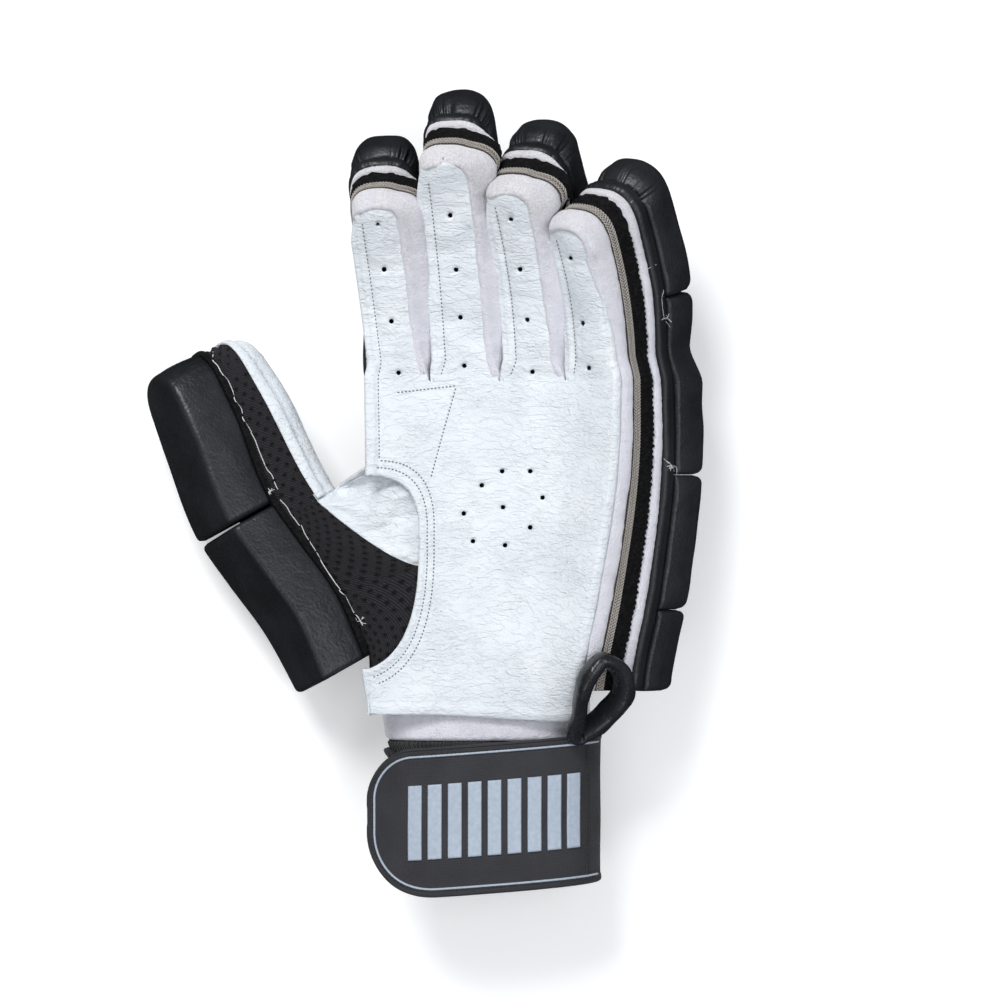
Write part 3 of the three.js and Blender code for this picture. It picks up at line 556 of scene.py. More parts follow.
def hand_tuck(index, s):
    """How far the back of the index side is drawn in beside the palm."""
    return HAND_TUCK * smooth((9 - s) / 10) if index == 0 else np.zeros(len(s))


class FingerWall:
    """The wall round a finger: up its left side, round the tip and down its right side."""

    def __init__(self, index, start=-0.6, step=WALL_STEP):
        finger = FINGERS[index]
        half = finger["backWidth"] / 2
        last = len(FINGERS) - 1
        left_from = OPENING_TOP + SEAM_ALLOWANCE + LEATHER - KNUCKLE_Y if index == 0 else start
        right_from = -HAND_LENGTH if index == last else start
        left = with_round_tip(left_from, finger["length"], half, step)
        right = with_round_tip(right_from, finger["length"], half, step)
        s, turn, side = round_wall(left, right)
        self.sections = column_sections(index, s, turn)
        self.side = side[:, None]
        self.free = np.where(side < 0.5, index == 0, index == last)[:, None]
        self.straight = (1 - smooth(np.degrees(turn) / 60))[:, None]
        self.swell = self.swelling(s, side, index, last)[:, None]

    def swelling(self, s, side, index, last):
        """How far the wall is filled out towards the next finger, or held back under the leather."""
        out = np.zeros(len(s))
        if index < last:
            out = np.where(side > 0.5, np.clip(gap_beside(index, s) - WALL_GAP, 0, WALL_SWELL), out)
        if index > 0:
            out = np.where(side < 0.5, -WALL_HELD * smooth(s / 12), out)
        else:
            out = np.where(side < 0.5, -hand_tuck(index, s), out)
        return out * self.straight[:, 0]

    def place(self, v, push=0.0, rise=0.0):
        """v runs from the leather to the back strip. push goes out from the filled wall, rise forwards."""
        fuller = smooth(v / 0.14) * lerp(0.7, 1.1, np.clip(v / 0.5, 0, 1)) * smooth((1.03 - v) / 0.3)
        drawn = smooth((v - 0.1) / 0.25)
        share = np.where(self.swell > 0, fuller, drawn)
        return self.sections.place(self.side, v, push + self.swell * share, rise)


# Meshes

class Shape:
    """Collects grids of points and turns them into one object."""

    def __init__(self):
        self.points, self.faces, self.uvs = [], [], []
        self.count = 0

    def add(self, points, faces, uv=None):
        """Points in millimetres, and faces as their numbers among these points."""
        points = np.asarray(points, float).reshape(-1, 3)
        self.points.append(points)
        self.faces += [[int(i) + self.count for i in face] for face in faces]
        self.uvs.append(np.zeros((len(points), 2)) if uv is None else np.asarray(uv, float).reshape(-1, 2))
        self.count += len(points)

    def grid(self, points, ring=False, loop=False, uv=None):
        """A net of quads. ring joins the last column to the first, loop the last row to the first."""
        rows, columns = points.shape[:2]
        index = np.arange(rows * columns).reshape(rows, columns)
        if ring:
            index = np.concatenate([index, index[:, :1]], 1)
        if loop:
            index = np.concatenate([index, index[:1]])
        quads = np.stack([index[:-1, :-1], index[:-1, 1:], index[1:, 1:], index[1:, :-1]], -1)
        self.add(points, quads.reshape(-1, 4), flat_map(points) if uv is None else uv)

    def rings(self, points, ends=(0, -1)):
        """A net whose columns close into rings, with a cap over the rings at its ends."""
        self.grid(points, ring=True)
        for end in ends:
            self.cap(points[end])

    def cap(self, ring):
        """Closes a ring of points with a fan."""
        count = len(ring)
        points = np.concatenate([ring, ring.mean(0)[None]])
        self.add(points, [(i, (i + 1) % count, count) for i in range(count)])

    def tube(self, line, radius, sides=6):
        """A round thread along a line."""
        ahead = unit(np.gradient(line, axis=0))
        up = np.array([0.0, 0.0, 1.0]) + 1e-3
        side = unit(np.cross(ahead, up))
        other = np.cross(side, ahead)
        angle = np.linspace(0, 2 * np.pi, sides, endpoint=False)
        radius = np.broadcast_to(radius, len(line))[:, None, None]
        ring = np.cos(angle)[None, :, None] * side[:, None] + np.sin(angle)[None, :, None] * other[:, None]
        self.rings(line[:, None] + radius * ring)

    def object(self, name, material, closed=True):
        """One Blender object of everything added, with the cloth's own millimetres as its map."""
        mesh = bpy.data.meshes.new(name)
        points = np.concatenate(self.points) * MM + SHIFT
        mesh.from_pydata(points.tolist(), [], self.faces)
        layer = mesh.uv_layers.new(name="cloth")
        corners = np.zeros(len(mesh.loops), int)
        mesh.loops.foreach_get("vertex_index", corners)
        layer.data.foreach_set("uv", np.concatenate(self.uvs)[corners].ravel())
        made = bpy.data.objects.new(name, mesh)
        bpy.context.scene.collection.objects.link(made)
        made.data.materials.append(material)
        weld(made, closed)
        return made


def flat_map(points):
    """Distances in millimetres along the rows and columns of a net."""
    down = np.linalg.norm(np.diff(points, axis=0), axis=2).mean(1)
    over = np.linalg.norm(np.diff(points, axis=1), axis=2).mean(0)
    rows = np.concatenate([[0], np.cumsum(down)])
    columns = np.concatenate([[0], np.cumsum(over)])
    return np.stack(np.meshgrid(columns, rows), -1)


def weld(made, closed):
    """Joins points that lie together and turns the faces outwards."""
    work = bmesh.new()
    work.from_mesh(made.data)
    bmesh.ops.remove_doubles(work, verts=work.verts, dist=2e-6)
    bmesh.ops.dissolve_degenerate(work, edges=work.edges, dist=1e-7)
    if closed:
        bmesh.ops.recalc_face_normals(work, faces=work.faces)
    for face in work.faces:
        face.smooth = True
    work.to_mesh(made.data)
    work.free()


def thicken(made, thickness):
    """Gives an open sheet its thickness, below it."""
    solid = made.modifiers.new("thickness", "SOLIDIFY")
    solid.thickness = thickness * MM
    solid.offset = -1
    mesh = bpy.data.meshes.new_from_object(made.evaluated_get(bpy.context.evaluated_depsgraph_get()))
    made.modifiers.clear()
    made.data = mesh
    for face in made.data.polygons:
        face.use_smooth = True


# Every piece that has been made, for the threads that lie on top of them
PIECES = []


def seat(made, nodes):
    """The piece rides on the part and stands for its nodes."""
    PIECES.append(made)
    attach(made, "root")
    if nodes:
        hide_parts(*nodes)


def cloth(made, width, length, held, rests_on, area=None):
    """Does nothing with the piece or with this flat size, in millimetres."""
    if area:
        area *= MM * MM


# Materials

class Finish:
    """A material with short calls for its nodes. Coordinates are millimetres."""

    def __init__(self, name, roughness=0.6, **sockets):
        self.material = bpy.data.materials.new(name)
        self.material.use_nodes = True
        self.tree = self.material.node_tree
        self.shader = self.tree.nodes["Principled BSDF"]
        self.shader.inputs["Roughness"].default_value = roughness
        for socket, value in sockets.items():
            self.shader.inputs[socket.replace("_", " ")].default_value = value

    def node(self, kind, inputs=(), **settings):
        """A new node. An input is a value or another node's output."""
        made = self.tree.nodes.new("ShaderNode" + kind)
        for key, value in settings.items():
            setattr(made, key, value)
        for key, value in dict(inputs).items():
            if isinstance(value, bpy.types.NodeSocket):
                self.tree.links.new(value, made.inputs[key])
            else:
                made.inputs[key].default_value = value
        return made

    def cloth(self, scale=(1, 1, 1)):
        """Millimetres along the piece's own cloth."""
        uv = self.node("UVMap", uv_map="cloth").outputs[0]
        return self.node("Mapping", {"Vector": uv, "Scale": scale}).outputs[0]

    def space(self, scale=(1, 1, 1)):
        """Millimetres in the object's own space."""
        place = self.node("TexCoord").outputs["Object"]
        return self.node("Mapping", {"Vector": place, "Scale": [1000 * k for k in scale]}).outputs[0]

    def noise(self, at, scale, detail=3.0, rough=0.5):
        """Cloudy noise from 0 to 1."""
        inputs = {"Vector": at, "Scale": scale, "Detail": detail, "Roughness": rough}
        return self.node("TexNoise", inputs).outputs["Fac"]

    def cells(self, at, scale, feature="F1"):
        """The distance to the middle of the nearest of many cells."""
        made = self.node("TexVoronoi", {"Vector": at, "Scale": scale}, feature=feature)
        return made.outputs["Distance"]

    def wave(self, at, scale, axis="X", distortion=0.0, detail_scale=1.0):
        """Even bands from 0 to 1."""
        inputs = {"Vector": at, "Scale": scale, "Distortion": distortion, "Detail Scale": detail_scale}
        return self.node("TexWave", inputs, bands_direction=axis).outputs["Fac"]

    def math(self, operation, a, b=0.0):
        return self.node("Math", {0: a, 1: b}, operation=operation).outputs[0]

    def ramp(self, value, low, high, start=0.0, end=1.0):
        """A number that goes from start to end while value goes from low to high."""
        inputs = {"Value": value, "From Min": low, "From Max": high, "To Min": start, "To Max": end}
        return self.node("MapRange", inputs).outputs["Result"]

    def mix(self, share, a, b):
        """From colour a to colour b as the share goes from 0 to 1."""
        a, b = (value if isinstance(value, bpy.types.NodeSocket) else (*value, 1) for value in (a, b))
        return self.node("Mix", {0: share, 6: a, 7: b}, data_type="RGBA").outputs[2]

    def mottled(self, at, scale, detail, low, high, dark, light):
        """The material's colour drifts between two tones."""
        self.colour(self.mix(self.ramp(self.noise(at, scale, detail), low, high), dark, light))

    def colour(self, value):
        self.tree.links.new(value, self.shader.inputs["Base Color"])

    def roughness(self, value):
        self.tree.links.new(value, self.shader.inputs["Roughness"])

    def bumps(self, *layers):
        """Each layer is a height and how many millimetres it stands for."""
        normal = None
        for height, depth in layers:
            inputs = {"Height": height, "Strength": 1.0, "Distance": depth * MM}
            if normal is not None:
                inputs["Normal"] = normal
            normal = self.node("Bump", inputs).outputs[0]
        self.tree.links.new(normal, self.shader.inputs["Normal"])


def white_leather():
    finish = Finish("white_leather", roughness=0.5, Specular_IOR_Level=0.35)
    at = finish.space()
    fine = finish.noise(finish.space((0.62, 1.25, 0.9)), 1.0, 4.0, 0.62)
    medium = finish.noise(finish.space((0.17, 0.42, 0.3)), 0.9, 2.5, 0.5)
    creases = finish.ramp(finish.math("ABSOLUTE", finish.math("SUBTRACT", medium, 0.5)), 0.0, 0.06)
    patches = finish.ramp(finish.noise(at, 0.07, 2.0), 0.38, 0.6, 0.25, 1.0)
    pores = finish.cells(at, 1.5)
    tone = finish.noise(at, 0.05, 3.0)
    base_tone = finish.mix(finish.ramp(tone, 0.3, 0.7), (0.70, 0.745, 0.79), (0.775, 0.81, 0.84))
    # The creases are painted a little darker than the leather: painted shade in the creases
    finish.colour(finish.mix(finish.ramp(creases, 0.0, 1.0, 0.14, 0.0), base_tone, (0.42, 0.45, 0.49)))
    finish.roughness(finish.ramp(fine, 0.3, 0.7, 0.42, 0.6))
    finish.bumps((finish.math("MULTIPLY", fine, patches), 0.6), (creases, 0.12), (pores, 0.1))
    return finish.material


def black_leather(name="black_leather", gloss=0.4):
    finish = Finish(name, roughness=gloss, Specular_IOR_Level=0.42)
    at = finish.space()
    pebbles = finish.cells(at, 1.1, "SMOOTH_F1")
    wrinkles = finish.noise(at, 0.25, 4.0, 0.5)
    finish.mottled(at, 0.05, 2.0, 0.35, 0.65, (0.010, 0.011, 0.013), (0.017, 0.018, 0.022))
    finish.roughness(finish.ramp(wrinkles, 0.3, 0.7, gloss - 0.06, gloss + 0.08))
    finish.bumps((wrinkles, 0.3), (pebbles, 0.12))
    return finish.material


def towelling():
    finish = Finish("towelling", roughness=0.95, Sheen_Weight=0.35, Sheen_Roughness=0.5)
    at = finish.space()
    loops = finish.noise(at, 1.5, 4.0, 0.7)
    tone = finish.noise(at, 0.12, 3.0)
    base_tone = finish.mix(finish.ramp(tone, 0.3, 0.7), (0.74, 0.735, 0.82), (0.83, 0.83, 0.89))
    height = finish.node("SeparateXYZ", {"Vector": at}).outputs["Y"]
    soiled = finish.math("MULTIPLY", finish.ramp(height, 62, 108), finish.ramp(loops, 0.42, 0.6))
    finish.colour(finish.mix(finish.math("MULTIPLY", soiled, 0.55), base_tone, (0.52, 0.46, 0.40)))
    finish.bumps((finish.noise(at, 0.35, 2.0), 0.4), (loops, 0.8))
    return finish.material


def thread(name, colour, roughness=0.7):
    finish = Finish(name, roughness=roughness, Sheen_Weight=0.2)
    at = finish.space()
    finish.mottled(at, 1.2, 2.0, 0.3, 0.7, [0.72 * value for value in colour], colour)
    finish.bumps((finish.noise(at, 3.5, 2.0), 0.1))
    return finish.material


def mesh_tape():
    finish = Finish("mesh_tape", roughness=0.9, Specular_IOR_Level=0.2)
    at = finish.cloth()
    knots = finish.cells(at, 0.9, "SMOOTH_F1")
    # The knots are painted lighter and the gaps between them nearly black: painted light on the knots and
    # painted shade in the gaps
    finish.colour(finish.mix(finish.ramp(knots, 0.1, 0.6), (0.009, 0.009, 0.010), (0.002, 0.002, 0.0025)))
    finish.bumps((finish.noise(at, 1.6, 3.0), 0.5), (finish.noise(finish.space(), 4.0, 2.0), 0.15))
    return finish.material


def thumb_netting():
    finish = Finish("thumb_netting", roughness=0.85, Specular_IOR_Level=0.25, Sheen_Weight=0.03)
    at = finish.cloth()
    knit = finish.wave(at, 0.55, "DIAGONAL", 2.5, 1.5)
    holes = finish.node("Attribute", attribute_name="hole").outputs["Fac"]
    # The knit's raised bands are painted lighter than its hollows, and the holes nearly black: painted light
    # on the knit and painted shade in the holes
    lit = finish.mix(finish.ramp(knit, 0.2, 0.8), (0.010, 0.0095, 0.012), (0.026, 0.025, 0.03))
    finish.colour(finish.mix(finish.ramp(holes, 0.25, 0.6), lit, (0.002, 0.002, 0.002)))
    finish.bumps((knit, 0.25), (finish.noise(at, 2.5, 3.0), 0.25))
    return finish.material


def wristband_knit():
    finish = Finish("wristband_knit", roughness=0.9, Sheen_Weight=0.2)
    at = finish.cloth()
    ribs = finish.wave(at, 0.35, "X")
    # The ribs are painted lighter on their tops than in their grooves: painted light and shade along the
    # ribs
    finish.colour(finish.mix(ribs, (0.006, 0.006, 0.007), (0.02, 0.02, 0.022)))
    finish.bumps((ribs, 0.4), (finish.noise(at, 2.0, 3.0), 0.3))
    return finish.material


def strap_cloth():
    finish = Finish("strap_cloth", roughness=0.68, Specular_IOR_Level=0.3, Sheen_Weight=0.08)
    at = finish.cloth()
    over = finish.wave(at, 0.42, "X")
    under = finish.wave(at, 0.42, "Y")
    weave = finish.math("MULTIPLY", over, under)
    finish.mottled(finish.space(), 0.08, 3.0, 0.3, 0.7, (0.024, 0.024, 0.028), (0.033, 0.033, 0.038))
    finish.bumps((finish.noise(finish.space(), 0.5, 3.0), 0.15), (weave, 0.12))
    return finish.material


def print_grey():
    finish = Finish("print_grey", roughness=0.5)
    at = finish.space()
    finish.mottled(at, 0.7, 4.0, 0.3, 0.7, (0.34, 0.40, 0.48), (0.42, 0.48, 0.56))
    finish.bumps((finish.noise(at, 1.6, 3.0), 0.12))
    return finish.material


# Pieces

def before_tip(index, s):
    """1 along a finger's straight sides and 0 round its tip."""
    finger = FINGERS[index]
    return 1 - smooth((s - finger["length"] + finger["backWidth"] / 2 + 5) / 10)


def wrapped(index, s):
    """1 where the leather laps over the little finger's right side and 0 round its tip."""
    finger = FINGERS[index]
    return 1 - smooth((s - finger["length"] + finger["backWidth"] / 2 + LAP_RUN_OUT) / LAP_RUN_OUT)


def leather_inset(index, side, s, turn):
    """How far the leather's edge lies inside the column's side, under the towelling roll."""
    tip = TIP_LAP * smooth(np.degrees(turn) / 50)
    if side == 0 or index == len(FINGERS) - 1:
        return tip
    corner = FOLD_IN * 1.6
    gone = np.clip(1 - s / corner, 0, 1)
    fold = FOLD_IN * np.sqrt(1 - gone**2) * (s > 0)
    return lerp(fold, TIP_LAP, smooth(np.degrees(turn) / 50))


def arch_offset(index, s, u):
    """How far the palm curves away from the straight line between a column's two edges."""
    points = palm_line(s)
    before, after = 2 * points[:, :1] - points[:, 1:2], 2 * points[:, -1:] - points[:, -2:-1]
    padded = np.concatenate([before, points, after], 1)
    a, b, c, d = (padded[:, index + k, None] for k in range(4))
    t = u[None, :, None]
    offset = curve(a, b, c, d, t) - lerp(b, c, t)
    return np.stack([offset[..., 0], np.zeros(offset.shape[:2]), offset[..., 1]], -1)


def front_net(index, s, turn, u):
    """The leather over one column, with its seam on the left and the little finger's wrapped right side."""
    sections = column_sections(index, s, turn)
    left = sections.place(0.0, 0.0, -leather_inset(index, 0, s, turn)[:, None])
    right = sections.place(1.0, 0.0, -leather_inset(index, 1, s, turn)[:, None])
    points = lerp(left, right, u[None, :, None])
    open_share = smooth(s / FINGER_OPENS)[:, None]
    arch = arch_offset(index, np.minimum(s, 0), u) * (1 - open_share)[..., None]
    width = np.linalg.norm(right - left, axis=2)
    from_left, from_right = u * width, (1 - u) * width
    straight = before_tip(index, s)[:, None]
    seamed = straight * (np.ones_like(open_share) if index == 0 else smooth(s / 7)[:, None])
    pressed = seamed * (1 - smooth((-s - 85) / 8))[:, None]
    bead = pressed * (0.75 * bump_at(from_left - 0.9, 1.5) - 0.55 * bump_at(from_left - SEAM_INSET, 0.7))
    fold = -0.5 * bump_at(from_right, 1.1) * open_share
    crown = FINGER_CROWN * np.sin(np.pi * u) ** 0.8 * open_share * np.cos(turn)[:, None] ** 0.5
    middle = smooth(np.minimum(from_left, from_right) / 5)
    lumps = 0.5 * noise(points[..., 0] / 9, points[..., 1] / 6, 3) * open_share * middle
    points = points + arch + (crown + bead + fold + lumps)[..., None] * sections.out[:, None]
    wide = HEM_SPREAD * (smooth((-s - 77) / 22) - 1.7 * smooth((-s - 100) / 15))[:, None]
    inset = leather_inset(index, 0, s, turn)[:, None]
    sides = [sections.place(0.0, 0.0, -inset + seamed * (out + wide), seamed * (up + 0.4) * (1 + 0.6 * wide))
             for out, up in BEAD]
    points = np.concatenate([np.stack(sides[::-1], 1)[:, :, 0], points], 1)
    if index == len(FINGERS) - 1:
        inset = leather_inset(index, 1, s, turn)[:, None]
        share = wrapped(index, s)[:, None]
        wrap = [sections.place(1.0, v * share, lerp(-inset, out, share)) for v, out in WRAP]
        points = np.concatenate([points, np.stack(wrap, 1)[:, :, 0]], 1)
    return points


def palm_creases(points):
    """Shallow creases that run across the palm and the fingers."""
    x, y = points[..., 0], points[..., 1]
    fine = noise(x / 7, y / 1.5 + 0.25 * noise(x / 9, y / 9, 11), 12)
    broad = noise(x / 18, y / 5, 13)
    on_finger = smooth((y - KNUCKLE_Y + 12) / 20)
    return 0.10 * fine * (0.6 + on_finger) + 0.22 * broad * (0.35 + on_finger)


def opening_outline(margin):
    """The thumb's opening seen from above, grown by a margin."""
    left = HAND_ROWS[0]["backLeft"] * PALM_WIDTH * OPENING_PAST
    top, bottom, reach = OPENING_TOP + margin, OPENING_BOTTOM - margin, OPENING_REACH + margin

    def bend(a, b, c):
        t = np.linspace(0, 1, 40)[:, None]
        a, b, c = np.array(a), np.array(b), np.array(c)
        return (1 - t) ** 2 * a + 2 * t * (1 - t) * b + t**2 * c

    upper = bend((lerp(left, reach, 0.55), top), (reach, top), (reach, lerp(top, OPENING_MIDDLE, 0.7)))
    turn = lerp(OPENING_MIDDLE, bottom, 0.85)
    lower = bend((reach, OPENING_MIDDLE), (reach, turn), (lerp(left, reach, 0.52), bottom))
    return np.concatenate([[(left, top)], upper, lower, [(left, bottom)]])


def outline_distance(points, outline):
    """How far each point is from an outline, and the nearest place on it."""
    a, b = outline[:-1], outline[1:]
    step = b - a
    t = ((points[:, None] - a) * step).sum(2) / np.maximum((step**2).sum(1), 1e-12)
    near = a + np.clip(t, 0, 1)[..., None] * step
    gap = np.linalg.norm(points[:, None] - near, axis=2)
    best = gap.argmin(1)
    rows = np.arange(len(points))
    return gap[rows, best], near[rows, best]


def inside(points, outline):
    """Which points lie inside a closed outline."""
    a, b = outline, np.roll(outline, -1, 0)
    x, y = points[:, 0, None], points[:, 1, None]
    crosses = (a[:, 1] > y) != (b[:, 1] > y)
    height = np.where(b[:, 1] == a[:, 1], 1, b[:, 1] - a[:, 1])
    return (crosses & (x < a[:, 0] + (y - a[:, 1]) / height * (b[:, 0] - a[:, 0]))).sum(1) % 2 == 1


def vent_places():
    """The middle of each air hole in the leather."""
    places = []
    for index, finger in enumerate(FINGERS):
        s = np.array(finger["vents"]) * finger["length"]
        sections = column_sections(index, s)
        places += list(sections.place(0.5, 0.0, 0.0, FINGER_CROWN * smooth(s / FINGER_OPENS)[:, None])[:, 0])
    for x, along in PALM_VENTS:
        places.append(np.array([x * PALM_WIDTH, KNUCKLE_Y - along * HAND_LENGTH, PALM_HEIGHT]))
    return places


def source_points(mesh):
    """The vertices of a mesh in the part's own millimetres."""
    found = np.zeros(len(mesh.vertices) * 3)
    mesh.vertices.foreach_get("co", found)
    return (found.reshape(-1, 3) - SHIFT) / MM


def set_points(mesh, points):
    """Moves the vertices of a mesh to these places in the part's own millimetres."""
    mesh.vertices.foreach_set("co", (points * MM + SHIFT).ravel())
    mesh.update()


def cut(made, middles_inside, snap):
    """Deletes the faces whose middle is inside, then moves the new border with snap."""
    work = bmesh.new()
    work.from_mesh(made.data)
    work.faces.ensure_lookup_table()
    middles = (np.array([face.calc_center_median() for face in work.faces]) - SHIFT) / MM
    gone = [work.faces[i] for i in np.flatnonzero(middles_inside(middles))]
    rim = {vert for face in gone for vert in face.verts}
    bmesh.ops.delete(work, geom=gone, context="FACES")
    rim = [vert for vert in rim if vert.is_valid]
    places = (np.array([vert.co for vert in rim]) - SHIFT) / MM
    for vert, place in zip(rim, snap(places) * MM + SHIFT):
        vert.co = place
    work.to_mesh(made.data)
    work.free()


def cut_opening(made):
    """Cuts the thumb's opening out of the palm."""
    outline = opening_outline(0)

    def snap(places):
        moved = places.copy()
        moved[:, :2] = outline_distance(places[:, :2], outline)[1]
        return moved

    cut(made, lambda middles: inside(middles[:, :2], outline), snap)


def cut_vents(made):
    """Punches the air holes, their rims pressed in a little."""
    for place in vent_places():
        def within(middles):
            return np.hypot(*(middles[:, :2] - place[:2]).T) < VENT_RADIUS

        def snap(places):
            offset = places[:, :2] - place[:2]
            moved = places.copy()
            moved[:, :2] = place[:2] + VENT_RADIUS * unit(offset)
            moved[:, 2] -= VENT_PRESSED
            return moved

        cut(made, within, snap)


def palm_leather(material):
    """The white palm with the four finger fronts, as one sheet."""
    shape = Shape()
    u = np.linspace(0, 1, 27)
    hand = np.linspace(-HAND_END, 0, 150)
    for index, finger in enumerate(FINGERS):
        front = with_round_tip(0.0, finger["length"], finger["backWidth"] / 2, 0.8, 12)
        for s, turn in ((hand, np.zeros(len(hand))), front):
            net = front_net(index, s, turn, u)
            shape.grid(net, uv=net[..., :2])
    made = shape.object("palm_leather_skin", material, closed=False)
    points = source_points(made.data)
    gap = outline_distance(points[:, :2], opening_outline(0))[0]
    ridge = 0.45 * bump_at(gap - 1.2, 1.0) - 0.28 * sum(bump_at(gap - row, 0.55) for row in OPENING_SEAMS)
    hem_edge = points[:, 1] - (KNUCKLE_Y - HAND_END)
    hem = 0.5 * bump_at(hem_edge - 2.2, 1.6)
    points[:, 2] += palm_creases(points) + ridge + hem
    points[:, 1] -= 2.4 * smooth(points[:, 0] / 45) * smooth((14 - hem_edge) / 14)
    set_points(made.data, points)
    cut_opening(made)
    cut_vents(made)
    face_up(made)
    thicken(made, LEATHER_SHEET)
    seat(made, ["palm_leather"])
    gussets = [f"{finger['name']}_gusset" for finger in FINGERS]
    cloth(made, *PALM_CUT, "stretched", gussets, PALM_CUT_AREA)
    return made


def face_up(made):
    """Turns a sheet's faces so that most of them look up."""
    ups = sum(face.normal.z * face.area for face in made.data.polygons)
    if ups < 0:
        made.data.flip_normals()


def gusset(index, material):
    """The towelling wall of a finger, with the roll that lies along the leather."""
    name = FINGERS[index]["name"]
    wall = FingerWall(index)
    s = wall.sections.s[:, None]
    right = wall.side > 0.5
    v, push, rise, roll = curve_through(GUSSET_PROFILE, 42).T[:, None]
    lapped = wrapped(index, s) * (right & wall.free)
    start = (WRAP[-2][0] - 0.01) * lapped
    under_seam = wall.straight * ~right
    from_crotch = smooth((s + 0.6) / 22)
    rounded = np.where(wall.free, 1.0, 0.25 + 0.75 * from_crotch) * (1 - 0.9 * under_seam)
    amount = 1 - roll * (1 - rounded)
    low = np.where(wall.free, 0.0, 1.6 * (1 - smooth((s + 0.6) / 4)))
    flat = 1 - 0.8 * lapped
    run = np.arange(len(s))[:, None] * WALL_STEP
    lumps = 0.35 * noise(run / 9 + 7 * index, v * 3, 21) + 0.16 * noise(run / 2.2, v * 12, 22)
    fuzz = 0.12 * noise(run * 1.3, v * 36, 23 + index)
    v = np.where(v < BRAID_FROM, lerp(start, BRAID_FROM, v / BRAID_FROM), v)
    out = push * np.where(push > 0, amount, 1) + lumps * (0.35 + roll) * (1 - 0.7 * under_seam) + fuzz
    outer = wall.place(v, out, rise * amount * flat - low - 1.5 * under_seam * roll)
    inner = wall.place(np.array([[1.0, 0.75, 0.5, 0.25]]), -COTTON)
    points = np.concatenate([outer, inner], 1)
    shape = Shape()
    shape.rings(points)
    made = shape.object(f"{name}_gusset_towelling", material)
    seat(made, [f"{name}_gusset"])
    cloth(made, GUSSET_CUT, arc_length(points[:, 20])[-1], "stretched", [f"{name}_base"])


def braid(index, finishes):
    """A knitted braid: chains of twisted strands on a dark tape."""
    name = FINGERS[index]["name"]
    wall = FingerWall(index, start=TAPE_START)
    tape = Shape()
    corners = [(BRAID_FROM - 0.01, 0.1), (BRAID_FROM, 0.4), (BRAID_TO, 0.4), (BRAID_TO, 0.1)]
    tape.rings(np.stack([wall.place(v, push)[:, 0] for v, push in corners], 1))
    seat(tape.object(f"{name}_braid_tape", finishes["braid_tape"]), [f"{name}_braid"])
    middle = wall.place((BRAID_FROM + BRAID_TO) / 2, 0.55)[:, 0]
    run = arc_length(middle)
    at = np.arange(0, run[-1], BRAID_PITCH / 8)
    sections = wall.sections
    depth = np.linalg.norm(sections.back[:, 0] - sections.edge[:, 0], axis=1).mean()
    spread = 0.33 * (BRAID_TO - BRAID_FROM) * depth / BRAID_CHAINS
    shape = Shape()
    for chain in range(BRAID_CHAINS):
        v = lerp(BRAID_FROM, BRAID_TO, (chain + 0.5) / BRAID_CHAINS)
        line = wall.place(v, 0.7)[:, 0]
        away = unit(wall.place(v, 1.7)[:, 0] - line)
        beside = unit(wall.place(v + 0.03, 0.7)[:, 0] - line)
        line, away, beside = (at_run(x, run, at) for x in (line, away, beside))
        twist = 2 * np.pi * at / BRAID_PITCH * (1 if chain % 2 else -1)
        for phase in (0, np.pi):
            over, up = np.cos(twist + phase)[:, None] * spread, np.sin(twist + phase)[:, None] * 0.25
            shape.tube(line + over * beside + up * away, BRAID_YARN, sides=5)
    seat(shape.object(f"{name}_braid_knit", finishes["braid"]), [])


def mesh_band(index, material):
    """The knobbly black tape."""
    name = FINGERS[index]["name"]
    wall = FingerWall(index, start=TAPE_START, step=0.5)
    run = arc_length(wall.place(0.65, 0.5)[:, 0])[:, None]
    across = np.linspace(0, 1, 17)[None]
    ragged = 0.016 * np.sin(run * 2 * np.pi / 1.9) + 0.014 * noise(run / 1.4, 0.0, 31 + index)
    v = lerp(BRAID_TO - 0.004, MESH_TO + ragged, across)
    width = (MESH_TO - BRAID_TO) * 24 * across
    slant, other_slant = run / 1.7 + width / 2.3, run / 1.7 - width / 2.3
    knots = np.abs(np.sin(np.pi * slant) * np.sin(np.pi * other_slant))
    height = 0.35 + 0.7 * knots + 0.3 * noise(run / 0.8, width / 0.8, 33)
    height = height * smooth(np.minimum(across, 1 - across) * 9)
    top = wall.place(v, 0.1 + height)
    under = wall.place(v[:, ::-1], -0.15)
    shape = Shape()
    shape.rings(np.concatenate([top, under], 1))
    seat(shape.object(f"{name}_mesh_knit", material), [f"{name}_mesh"])


def side_push(index, side, s):
    """How far a column's strip and rolls stand out at a side."""
    if index == 0 and side == 0:
        return OVERHANG - hand_tuck(index, s)
    if index == len(FINGERS) - 1 and side == 1:
        return np.full(len(s), OVERHANG)
    return lerp(-COLUMN_GAP / 2, OVERHANG * FREE_OVERHANG, smooth(s / FINGER_OPENS))


